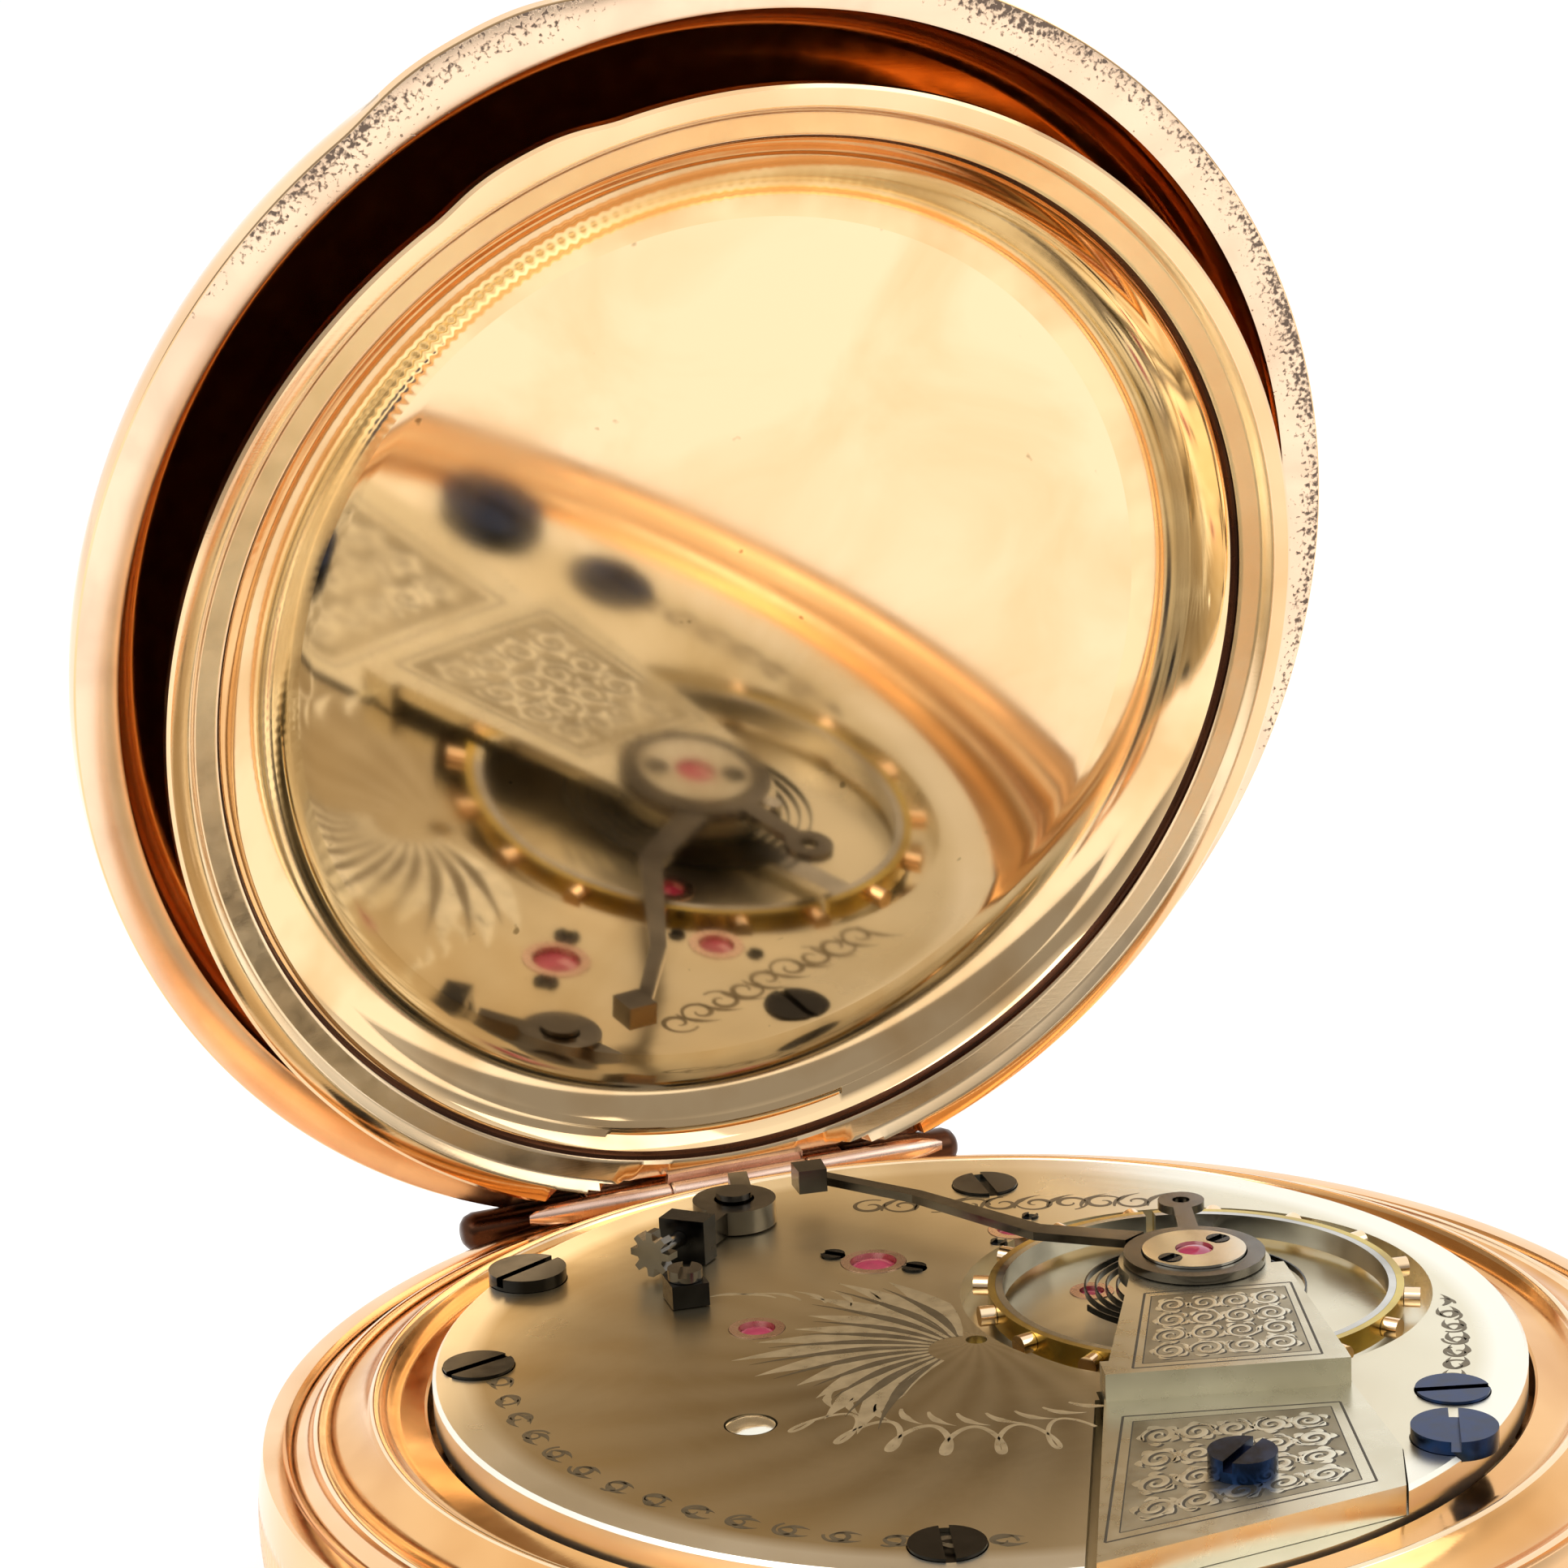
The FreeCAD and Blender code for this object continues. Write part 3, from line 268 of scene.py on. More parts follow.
def rim_gold(name, light, pit):
    """Lid rim: matt peach gold with black corrosion pits crowding its outer edge."""
    material, nodes, links, shader = new_material(name)
    where = object_coords(nodes)
    radius, angle = radial_coords(nodes, links, where)
    speck = noise(nodes, links, where, 4600.0, 4.0, 0.3)
    region = noise(nodes, links, where, 150.0, 2.0)
    edge = remap(nodes, links, radius, 0.0267, 0.0278, -0.10, 0.10)
    worn = remap(nodes, links, facing(nodes, links, angle, PITTED), 0.30, 0.85, -0.24, 0.06)
    by_lip = facing(nodes, links, angle, LIP_ANGLE - 0.12)
    near_lip = remap(nodes, links, by_lip, 0.90, 0.99, -0.24, 0.05)
    where_worn = maths(nodes, links, "MAXIMUM", worn, near_lip)
    limit = maths(nodes, links, "ADD", maths(nodes, links, "ADD", speck, edge), where_worn)
    limit = maths(nodes, links, "ADD", limit, remap(nodes, links, region, 0.35, 0.65, -0.08, 0.05))
    mask = remap(nodes, links, limit, 0.60, 0.72, 0.0, 0.9)
    clouds = noise(nodes, links, where, 240.0, 5.0, 0.8)
    base = ramp(nodes, links, clouds, [(0.30, (0.80, 0.56, 0.38)), (0.58, light)])
    links.new(mix_colour(nodes, links, mask, base, pit), shader.inputs["Base Color"])
    links.new(remap(nodes, links, mask, 0.0, 1.0, 1.0, 0.2), shader.inputs["Metallic"])
    links.new(remap(nodes, links, mask, 0.0, 1.0, 0.24, 0.8), shader.inputs["Roughness"])
    add_bump(nodes, links, shader, maths(nodes, links, "MULTIPLY", mask, -1.0), 0.5, 0.00005)
    return material


def chatter_gold(name, light, dark):
    """Turned annulus with fine tool chatter that slants across it, strongest on one side."""
    material, nodes, links, shader = new_material(name)
    where = object_coords(nodes)
    radius, angle = radial_coords(nodes, links, where)
    wobble = noise(nodes, links, where, 200.0, 3.0)
    phase = maths(nodes, links, "MULTIPLY", angle, 260.0)
    swirl = maths(nodes, links, "MULTIPLY", radius, 2400.0)
    wave = maths(nodes, links, "SINE", maths(nodes, links, "ADD", phase, swirl))
    side = remap(nodes, links, facing(nodes, links, angle, -2.1), 0.2, 0.9, 0.0, 1.0)
    patch = maths(nodes, links, "MULTIPLY", side, remap(nodes, links, wobble, 0.40, 0.65, 0.2, 1.0))
    height = maths(nodes, links, "MULTIPLY", wave, patch)
    links.new(ramp(nodes, links, wobble, [(0.35, dark), (0.60, light)]), shader.inputs["Base Color"])
    shader.inputs["Metallic"].default_value = 1.0
    links.new(remap(nodes, links, wobble, 0.3, 0.7, 0.10, 0.05), shader.inputs["Roughness"])
    add_bump(nodes, links, shader, height, 0.03, 0.00002)
    return material


def plate_nickel(name):
    """Damaskeened nickel: faint curved rays, tarnish to one side, a smoky patch and a painted highlight in a
    bright band along the edge.
    """
    material, nodes, links, shader = new_material(name)
    where = object_coords(nodes)
    ring_radius = radial_coords(nodes, links, where, (-3.0, -2.0))[0]
    rings = maths(nodes, links, "SINE", maths(nodes, links, "MULTIPLY", ring_radius, 9000.0))
    radius, angle = radial_coords(nodes, links, where)
    phase = maths(nodes, links, "MULTIPLY", angle, 24.0)
    swirl = maths(nodes, links, "MULTIPLY", radius, 700.0)
    rays = maths(nodes, links, "SINE", maths(nodes, links, "ADD", phase, swirl))
    clouds = noise(nodes, links, where, 130.0, 5.0, 0.6)
    parts = nodes.new("ShaderNodeSeparateXYZ")
    links.new(where, parts.inputs[0])
    side = remap(nodes, links, parts.outputs["X"], -0.012, 0.012, 1.0, 0.0)
    smoke_radius = radial_coords(nodes, links, where, (-4.0, -6.0))[0]
    shade = remap(nodes, links, smoke_radius, 0.0045, 0.0135, 1.0, 0.0)
    tarnish = maths(nodes, links, "MULTIPLY", side, remap(nodes, links, clouds, 0.35, 0.6, 0.55, 1.0))
    base = mix_colour(nodes, links, tarnish, (0.76, 0.70, 0.53), (0.52, 0.39, 0.19))
    smoke = maths(nodes, links, "MULTIPLY", shade, remap(nodes, links, clouds, 0.3, 0.62, 0.45, 0.95))
    base = mix_colour(nodes, links, smoke, base, (0.23, 0.175, 0.09))
    bright = remap(nodes, links, rays, -1.0, 1.0, 0.0, 0.14)
    base = mix_colour(nodes, links, bright, base, (0.86, 0.80, 0.62))
    # painted highlight: a bright band near the plate's edge, where its bevel would catch the light
    edge_highlight = remap(nodes, links, radius, 0.0190, 0.0198, 0.0, 0.85)
    links.new(mix_colour(nodes, links, edge_highlight, base, (0.95, 0.92, 0.80)), shader.inputs["Base Color"])
    shader.inputs["Metallic"].default_value = 1.0
    links.new(remap(nodes, links, clouds, 0.3, 0.7, 0.26, 0.38), shader.inputs["Roughness"])
    grain = noise(nodes, links, where, 3500.0, 2.0)
    height = maths(nodes, links, "ADD", maths(nodes, links, "MULTIPLY", rings, 0.2), grain)
    add_bump(nodes, links, shader, height, 0.2, 0.00001)
    return material


def plain(name, colour, rough, metallic=0.0, grain=1500.0):
    """One colour with a fine mottle in its shade, polish and height."""
    material, nodes, links, shader = new_material(name)
    where = object_coords(nodes)
    mottled = noise(nodes, links, where, grain, 4.0)
    darker = tuple(0.82 * c for c in colour)
    links.new(ramp(nodes, links, mottled, [(0.35, darker), (0.6, colour)]), shader.inputs["Base Color"])
    links.new(remap(nodes, links, mottled, 0.3, 0.7, rough, rough + 0.08), shader.inputs["Roughness"])
    shader.inputs["Metallic"].default_value = metallic
    add_bump(nodes, links, shader, mottled, 0.08, 0.00001)
    return material


def screw_steel(name):
    """Screw heads: near black where x is low and blue where x is high; this change with place is a painted
    sheen, standing in for the light that the blued steel catches.
    """
    material, nodes, links, shader = new_material(name)
    where = object_coords(nodes)
    parts = nodes.new("ShaderNodeSeparateXYZ")
    links.new(where, parts.inputs[0])
    half_y = maths(nodes, links, "MULTIPLY", parts.outputs["Y"], 0.5)
    painted_sheen_side = maths(nodes, links, "SUBTRACT", parts.outputs["X"], half_y)
    # painted sheen: this mask turns the near black into blue towards high x, where the blued steel would
    # catch the light
    blue = remap(nodes, links, painted_sheen_side, 0.002, 0.007, 0.0, 1.0)
    worn = noise(nodes, links, where, 1500.0, 4.0)
    blue = maths(nodes, links, "MULTIPLY", blue, remap(nodes, links, worn, 0.3, 0.6, 0.5, 1.0))
    tint = mix_colour(nodes, links, blue, (0.022, 0.020, 0.018), (0.012, 0.030, 0.095))
    links.new(tint, shader.inputs["Base Color"])
    shader.inputs["Metallic"].default_value = 1.0
    links.new(remap(nodes, links, worn, 0.3, 0.7, 0.14, 0.26), shader.inputs["Roughness"])
    add_bump(nodes, links, shader, worn, 0.08, 0.00001)
    return material


def ruby(name):
    """Jewel stone: deep red, slightly clear."""
    material = plain(name, (0.50, 0.03, 0.11), 0.06)
    shader = material.node_tree.nodes["Principled BSDF"]
    shader.inputs["Transmission Weight"].default_value = 0.25
    shader.inputs["IOR"].default_value = 1.76
    return material


def clear_glass(name):
    material = plain(name, (0.97, 0.98, 0.98), 0.02, grain=300.0)
    shader = material.node_tree.nodes["Principled BSDF"]
    shader.inputs["Transmission Weight"].default_value = 1.0
    shader.inputs["IOR"].default_value = 1.5
    return material


GOLD = (0.94, 0.67, 0.40)
PEACH = (0.93, 0.68, 0.47)
FINISH = {
    "case": metal("gold_case", (0.92, 0.60, 0.34), (0.80, 0.47, 0.22), 0.09, 0.05, 0.08),
    "lid": gold_mirror("gold_lid", GOLD, (0.83, 0.56, 0.29), 0.04),
    "lid_out": metal("gold_lid_outside", (0.93, 0.63, 0.36), (0.80, 0.50, 0.25), 0.09, 0.05, 0.1),
    # painted reflection: the deep orange stands in for light thrown between the gold surfaces inside the
    # cover
    "lid_in": metal("lid_inside_painted_reflection", (1.0, 0.52, 0.19), (0.84, 0.36, 0.09), 0.10, 0.06, 0.08),
    "rim": rim_gold("gold_rim", PEACH, (0.09, 0.055, 0.04)),
    "chatter": chatter_gold("gold_chatter", (0.92, 0.65, 0.36), (0.78, 0.50, 0.24)),
    # painted light: the ridge gold is a paler copy, painted highlight on the case ridges and also the balance
    # screws' gold; the channel gold is a darker amber copy, painted shade
    "ridge": metal("ridge_highlight_and_balance_screw_gold", (0.97, 0.74, 0.49), (0.88, 0.61, 0.36), 0.10, 0.06, 0.1),
    "channel": metal("channel_gold_painted_shade", (0.84, 0.48, 0.20), (0.66, 0.32, 0.10), 0.10, 0.08, 0.1),
    # painted highlight: a paler copy of the lid gold for the cuvette's ledge and rim edge
    "ledge": metal("lid_ledge_painted_highlight", (0.94, 0.72, 0.46), (0.82, 0.57, 0.32), 0.14, 0.08, 0.1),
    "trim": metal("rose_gold_trim", (0.80, 0.58, 0.46), (0.52, 0.32, 0.24), 0.22, 0.1, 0.2, 1800.0),
    # painted shade: near-black gold for the cover hinges and the cuvette's groove, which lie in shade
    "hinge": metal("hinge_and_groove_painted_shade", (0.11, 0.045, 0.022), (0.035, 0.015, 0.010), 0.22, 0.12, 0.2),
    "plate": plate_nickel("nickel_plate"),
    "cock": metal("nickel_cock", (0.78, 0.73, 0.57), (0.62, 0.57, 0.42), 0.24, 0.1, 0.1),
    "silver": metal("polished_nickel", (0.88, 0.85, 0.74), (0.72, 0.68, 0.55), 0.10, 0.08, 0.1),
    "blue": metal("blued_steel", (0.035, 0.075, 0.20), (0.008, 0.010, 0.018), 0.14, 0.1, 0.1, 2500.0),
    # the screw heads carry a painted blue sheen that grows towards high x
    "screw": screw_steel("screw_steel"),
    "black": metal("dark_steel", (0.040, 0.038, 0.036), (0.010, 0.010, 0.010), 0.16, 0.12, 0.15, 2500.0),
    "steel": metal("bright_steel", (0.62, 0.60, 0.55), (0.35, 0.33, 0.29), 0.12, 0.1, 0.12, 2000.0),
    "dark_steel": metal("grey_steel", (0.20, 0.18, 0.15), (0.06, 0.05, 0.04), 0.14, 0.1, 0.12, 2000.0),
    "brass": metal("gilt_brass", (0.66, 0.50, 0.13), (0.38, 0.25, 0.05), 0.16, 0.1, 0.12, 2000.0),
    "ruby": ruby("ruby"),
    "glass": clear_glass("watch_glass"),
    "enamel": plain("white_enamel", (0.95, 0.94, 0.90), 0.08, grain=6000.0),
    "ink": plain("black_enamel", (0.012, 0.012, 0.014), 0.2),
    "engraved": plain("engraving_shadow", (0.075, 0.062, 0.042), 0.45, 0.6),
    "engraved_soft": plain("engraving_shade", (0.17, 0.135, 0.08), 0.4, 0.8),
    "panel": metal("panel_ground", (0.46, 0.41, 0.29), (0.26, 0.22, 0.14), 0.34, 0.1, 0.3, 3000.0),
    "engraved_light": plain("engraving_bright", (0.88, 0.84, 0.68), 0.26, 1.0),
}


# ------------------------------------------------------------ geometry

def add_mesh(name, verts, faces, material, body, sharp=35.0, slots=None):
    """A smooth-shaded mesh with one material or a list; it rides a CAD body if one is named."""
    mesh = bpy.data.meshes.new(name)
    mesh.from_pydata([(x * MM, y * MM, z * MM) for x, y, z in verts], [], faces)
    if slots:
        mesh.polygons.foreach_set("material_index", slots)
    work = bmesh.new()
    work.from_mesh(mesh)
    bmesh.ops.remove_doubles(work, verts=work.verts, dist=1e-8)
    bmesh.ops.recalc_face_normals(work, faces=work.faces)
    work.to_mesh(mesh)
    work.free()
    mesh.polygons.foreach_set("use_smooth", [True] * len(mesh.polygons))
    mesh.set_sharp_from_angle(angle=math.radians(sharp))
    obj = bpy.data.objects.new(name, mesh)
    bpy.context.scene.collection.objects.link(obj)
    for one in material if isinstance(material, list) else [material]:
        obj.data.materials.append(one)
    if body:
        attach(obj, body)
    return obj


def arc(start, middle, end, steps):
    """Points from start to end, start left out, on the circle through middle."""
    ax, ay = start
    bx, by = middle
    cx, cy = end
    d = 2 * (ax * (by - cy) + bx * (cy - ay) + cx * (ay - by))
    aa, bb, cc = ax * ax + ay * ay, bx * bx + by * by, cx * cx + cy * cy
    ux = (aa * (by - cy) + bb * (cy - ay) + cc * (ay - by)) / d
    uy = (aa * (cx - bx) + bb * (ax - cx) + cc * (bx - ax)) / d
    radius = math.hypot(ax - ux, ay - uy)
    a0 = math.atan2(ay - uy, ax - ux)
    a1 = math.atan2(cy - uy, cx - ux)
    am = math.atan2(by - uy, bx - ux)
    while a1 - a0 > math.pi:
        a1 -= 2 * math.pi
    while a1 - a0 < -math.pi:
        a1 += 2 * math.pi
    low, high = sorted((a0, a1))
    if not any(low - 0.02 <= am + k * 2 * math.pi <= high + 0.02 for k in (-1, 0, 1)):
        a1 += -2 * math.pi if a1 > a0 else 2 * math.pi
    return [(ux + radius * math.cos(a0 + (a1 - a0) * i / steps),
             uy + radius * math.sin(a0 + (a1 - a0) * i / steps)) for i in range(1, steps + 1)]


def dome_arc(start, end, steps, top_first):
    """Arc of a sphere whose centre is on the axis; one end is on the axis."""
    edge, top = (end, start) if top_first else (start, end)
    rise = abs(top[1] - edge[1])
    sphere = (edge[0] ** 2 + rise ** 2) / (2 * rise)
    half = edge[0] / 2
    drop = sphere - math.sqrt(sphere ** 2 - half ** 2)
    middle = (half, top[1] - math.copysign(drop, top[1] - edge[1]))
    return arc(start, middle, end, steps)


def lathe(name, profile, slots, material, segments=256, reshape=None, sharp=35.0):
    """Revolve a closed (r, z) profile; slots gives each profile edge's material index."""
    verts = []
    faces = []
    count = len(profile)
    for k in range(segments):
        angle = 2 * math.pi * k / segments
        for r, z in profile:
            point = (r * math.cos(angle), r * math.sin(angle), z)
            verts.append(reshape(point, angle, r) if reshape else point)
    for k in range(segments):
        here = k * count
        there = ((k + 1) % segments) * count
        for i in range(count):
            j = (i + 1) % count
            faces.append((here + i, here + j, there + j, there + i))
    face_slots = [slots[i % count] for i in range(len(faces))]
    return add_mesh(name, verts, faces, material, None, sharp, face_slots)


def build_profile(parts):
    """Flatten [(points, slot), ...] into a closed profile and one slot per edge."""
    profile = []
    slots = []
    for points, index in parts:
        for point in points:
            profile.append(point)
            slots.append(index)
    slots = slots[1:] + slots[:1]
    return profile, slots


def swing_open(obj, hinge):
    """Turn a lid from closed to its open rest place about its hinge."""
    pivot = Vector((0, hinge[0] * MM, hinge[1] * MM))
    turn = Matrix.Rotation(-OPEN_ANGLE, 4, "X")
    obj.matrix_world = Matrix.Translation(pivot) @ turn @ Matrix.Translation(-pivot)
    bpy.context.view_layer.update()


def lip_bulge(angle, half_width):
    """0 to 1 across the thumb lip."""
    gap = abs((angle - LIP_ANGLE + math.pi) % (2 * math.pi) - math.pi)
    return 0.5 + 0.5 * math.cos(math.pi * min(1.0, gap / half_width) ** 1.6)


def sunburst(radius, angle, end_radius, depth):
    """Height, zero or below, of the engine-turned rays cut into a cover's outside."""
    if radius <= RAY_START_R or radius >= end_radius:
        return 0.0
    fade = min(1.0, (radius - RAY_START_R) / 1.2, (end_radius - radius) / 1.2)
    twist = 1.1 * math.sin(radius * 0.55)
    return -depth * fade * (0.5 + 0.5 * math.cos(RAY_COUNT * (angle + 0.05 * twist)))


def back_cover():
    """Domed lid with a thumb lip, a stepped rim and its middle hinge knuckle."""
    outer = [(BACK_COVER_R, 10.08), (BACK_COVER_R, 10.6)]
    outer += arc((BACK_COVER_R, 10.6), (27.5, 12.4), (25.6, 13.8), 10)
    outer += dome_arc((25.6, 13.8), (0, 17.5), 40, False)
    inner = [(0, 16.9)] + dome_arc((0, 16.9), (24.6, 13.4), 24, True)
    inner += arc((24.6, 13.4), (25.7, 12.45), (26.2, 11.25), 8)
    step = [(26.24, 11.0), (26.42, 10.85), (26.36, 10.3), (26.29, 10.07), (26.45, 10.03), (28.0, 10.03)]
    profile, slots = build_profile([(outer, 0), (inner, 1), (step[:4], 1), (step[4:], 2)])

    def reshape(point, angle, r):
        x, y, z = point
        if r > 27.7 and z < 10.7:
            k = 1 + 0.5 * lip_bulge(angle, 0.22) / r
            x, y = x * k, y * k
        outside = z > 13.4 + 3.6 * (1 - (r / 25.0) ** 2)
        if outside and z > 13.6 and r < 25.7:
            z += sunburst(r, angle, 24.5, 0.07)
        if abs(x) < HINGE_FLAT and y > HINGE_FLAT_Y and z < 10.75:
            y = HINGE_FLAT_Y
        return (x, y, z)

    # the inside of the cover takes the deep orange lid_in gold, a painted reflection
    finishes = [FINISH["lid_out"], FINISH["lid_in"], FINISH["rim"]]
    cover = lathe("back_cover_shell", profile, slots, finishes, segments=720, reshape=reshape)
    swing_open(cover, BACK_HINGE)
    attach(cover, "back_lid")
    leaf = barrel_mesh("back_cover_hinge", -MID_KNUCKLE, MID_KNUCKLE, BACK_HINGE, KNUCKLE_R,
                       FINISH["trim"], BACK_HINGE)
    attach(leaf, "back_lid")
    for piece in (cover, leaf):
        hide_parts("back_cover")


def add_box(verts, faces, box):
    """Add a box, given as three (low, high) pairs, to a mesh's lists."""
    base = len(verts)
    for x in box[0]:
        for y in box[1]:
            for z in box[2]:
                verts.append((x, y, z))
    for quad in [(0, 1, 3, 2), (4, 5, 7, 6), (0, 1, 5, 4), (2, 3, 7, 6), (0, 2, 6, 4), (1, 3, 7, 5)]:
        faces.append(tuple(base + q for q in quad))


def barrel_mesh(name, x0, x1, axis, radius, material, hinge=None, box=None, tip=PLAIN_TIP):
    """Hinge tube along X, opened with its lid if a hinge is given, and with a box on it if one is given.

    tip gives (inset, scale) steps for the end further from the middle.
    """
    steps = 28
    low_tip, high_tip = (PLAIN_TIP, tip) if abs(x1) >= abs(x0) else (tip, PLAIN_TIP)
    ends = [(x0 + inset, k) for inset, k in low_tip]
    ends += [(x1 - inset, k) for inset, k in reversed(high_tip)]
    verts = []
    faces = []
    for x, k in ends:
        for i in range(steps):
            a = 2 * math.pi * i / steps
            verts.append((x, axis[0] + radius * k * math.cos(a), axis[1] + radius * k * math.sin(a)))
    if axis == CUVETTE_HINGE:
        verts = [(x, min(y, math.sqrt(TUBE_REACH ** 2 - x * x)), z) for x, y, z in verts]
    for e in range(len(ends) - 1):
        for i in range(steps):
            j = (i + 1) % steps
            faces.append((e * steps + i, e * steps + j, (e + 1) * steps + j, (e + 1) * steps + i))
    last = (len(ends) - 1) * steps
    faces.append(tuple(range(steps)))
    faces.append(tuple(range(last, last + steps)))
    if box:
        add_box(verts, faces, box)
    obj = add_mesh(name, verts, faces, material, None)
    if hinge:
        swing_open(obj, hinge)
    return obj


def hinge_box(name, axis, side):
    """Fixed half of a cover hinge: two round-ended knuckles on a bar let into the band.

    side is 1 where the bar lies below the axis and -1 where it lies above.
    """
    verts = []
    faces = []
    bar_heights = sorted((axis[1] - side * 0.92, axis[1] - side * 1.8))
    add_box(verts, faces, ((-11.2, 11.2), (26.15, 26.93), bar_heights))
    # the bar and both knuckles take the near-black hinge finish, painted shade on what is gold
    pieces = [add_mesh(name + "_bar", verts, faces, FINISH["hinge"], None)]
    web_heights = sorted((axis[1], axis[1] - side * 1.0))
    for tag, x0, x1 in (("left", -HINGE_HALF, -END_KNUCKLE), ("right", END_KNUCKLE, HINGE_HALF)):
        web_ends = (x0 + 0.9, x1) if x0 < 0 else (x0, x1 - 0.9)
        web = (web_ends, (26.4, 26.93), web_heights)
        pieces.append(barrel_mesh(name + "_" + tag, x0, x1, axis, KNUCKLE_R, FINISH["hinge"],
                                  box=web, tip=ROUND_TIP))
    for piece in pieces:
        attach(piece, "movement_case")
        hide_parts("hinge_boxes")


def cuvette():
    """Inner lid with a mirror dish in a turned wall, a thumb lip and its three hinge tubes."""
    outer = [(25.0, 11.1), (25.14, 11.22), (25.14, 11.68), (25.0, 11.85), (24.5, 12.2), (23.3, 12.5)]
    outer += arc((23.3, 12.5), (22.3, 13.5), (20.8, 14.1), 8)
    outer += dome_arc((20.8, 14.1), (0, 15.9), 24, False)
    mirror = [(0, 14.95)] + dome_arc((0, 14.95), (18.9, 14.05), 30, True)
    wall = arc((18.9, 14.05), (21.3, 13.38), (22.75, 12.2), 12)
    # the groove is painted near black with the hinge finish: painted shade in the crease
    groove = [(22.85, 11.95), (22.95, 11.9), (22.95, 11.74)]
    # the ledge and the rim edge after it take the paler ledge gold, a painted highlight
    ledge = [(23.1, 11.63), (23.85, 11.55), (23.98, 11.45)]
    rim = [(24.2, 11.15), (24.35, 11.08)]
    leaf_top = 11.62
    profile, slots = build_profile([(outer, 0), (mirror, 1), (wall, 2), (groove, 3), (ledge, 4), (rim, 4)])

    def reshape(point, angle, r):
        x, y, z = point
        if r > 24.6 and z < 11.9:
            k = 1 + 0.35 * lip_bulge(angle, 0.17) / r
            x, y = x * k, y * k
        if r < 22.0 and z < 15.0:
            z -= 0.009 * y
        if y > CUVETTE_CHORD_Y:
            y = CUVETTE_CHORD_Y
            z = max(z, leaf_top)
        return (x, y, z)

    # slot 3, the hinge finish, paints the groove as shade
    finishes = [FINISH[key] for key in ("lid_out", "lid", "chatter", "hinge", "ledge")]
    lid = lathe("cuvette_shell", profile, slots, finishes, segments=512, reshape=reshape)
    swing_open(lid, CUVETTE_HINGE)
    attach(lid, "cuvette_lid")
    leaf_box = ((-TUBE_MID, TUBE_MID), (23.3, CUVETTE_HINGE[0]), (11.38, leaf_top))
    leaf = barrel_mesh("cuvette_hinge", -TUBE_MID, TUBE_MID, CUVETTE_HINGE, TUBE_R, FINISH["trim"],
                       CUVETTE_HINGE, leaf_box)
    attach(leaf, "cuvette_lid")
    for piece in (lid, leaf):
        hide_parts("cuvette")
    inner_end = TUBE_MID + TUBE_GAP
    for tag, x0, x1 in (("left", -TUBE_HALF, -inner_end), ("right", inner_end, TUBE_HALF)):
        tube = barrel_mesh("cuvette_tube_" + tag, x0, x1, CUVETTE_HINGE, TUBE_R, FINISH["trim"], tip=LONG_TIP)
        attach(tube, "movement_case")
        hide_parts("cuvette_hinge_tubes")


def front_cover():
    """Closed lid that the watch lies on, with its middle hinge knuckle."""
    outer = [(FRONT_COVER_R, 4.22), (FRONT_COVER_R, 3.7)]
    outer += arc((FRONT_COVER_R, 3.7), (26.9, 1.7), (24.2, 0.75), 12)
    outer += arc((24.2, 0.75), (19.5, 0.15), (15.5, 0.0), 30)
    flat = [(15.5 - i * 0.5, 0.0) for i in range(1, 32)]
    inner = [(0, 0.5), (15.5, 0.5)] + arc((15.5, 0.5), (19.7, 0.66), (24.0, 1.2), 12)
    inner += arc((24.0, 1.2), (25.6, 2.1), (26.2, 3.4), 8) + [(26.2, 4.22)]
    profile, slots = build_profile([(outer, 0), (flat, 0), (inner, 1)])

    def reshape(point, angle, r):
        x, y, z = point
        if z < 0.45 and r < 22.0:
            z -= sunburst(r, angle, 22.0, 0.06)
        if abs(x) < HINGE_FLAT and y > HINGE_FLAT_Y and z > 3.5:
            y = HINGE_FLAT_Y
        return (x, y, z)

    finishes = [FINISH["lid_out"], FINISH["case"]]
    cover = lathe("front_cover_shell", profile, slots, finishes, segments=720, reshape=reshape)
    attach(cover, "front_lid")
    leaf = barrel_mesh("front_cover_hinge", -MID_KNUCKLE, MID_KNUCKLE, FRONT_HINGE, KNUCKLE_R, FINISH["trim"])
    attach(leaf, "front_lid")
    for piece in (cover, leaf):
        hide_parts("front_cover")


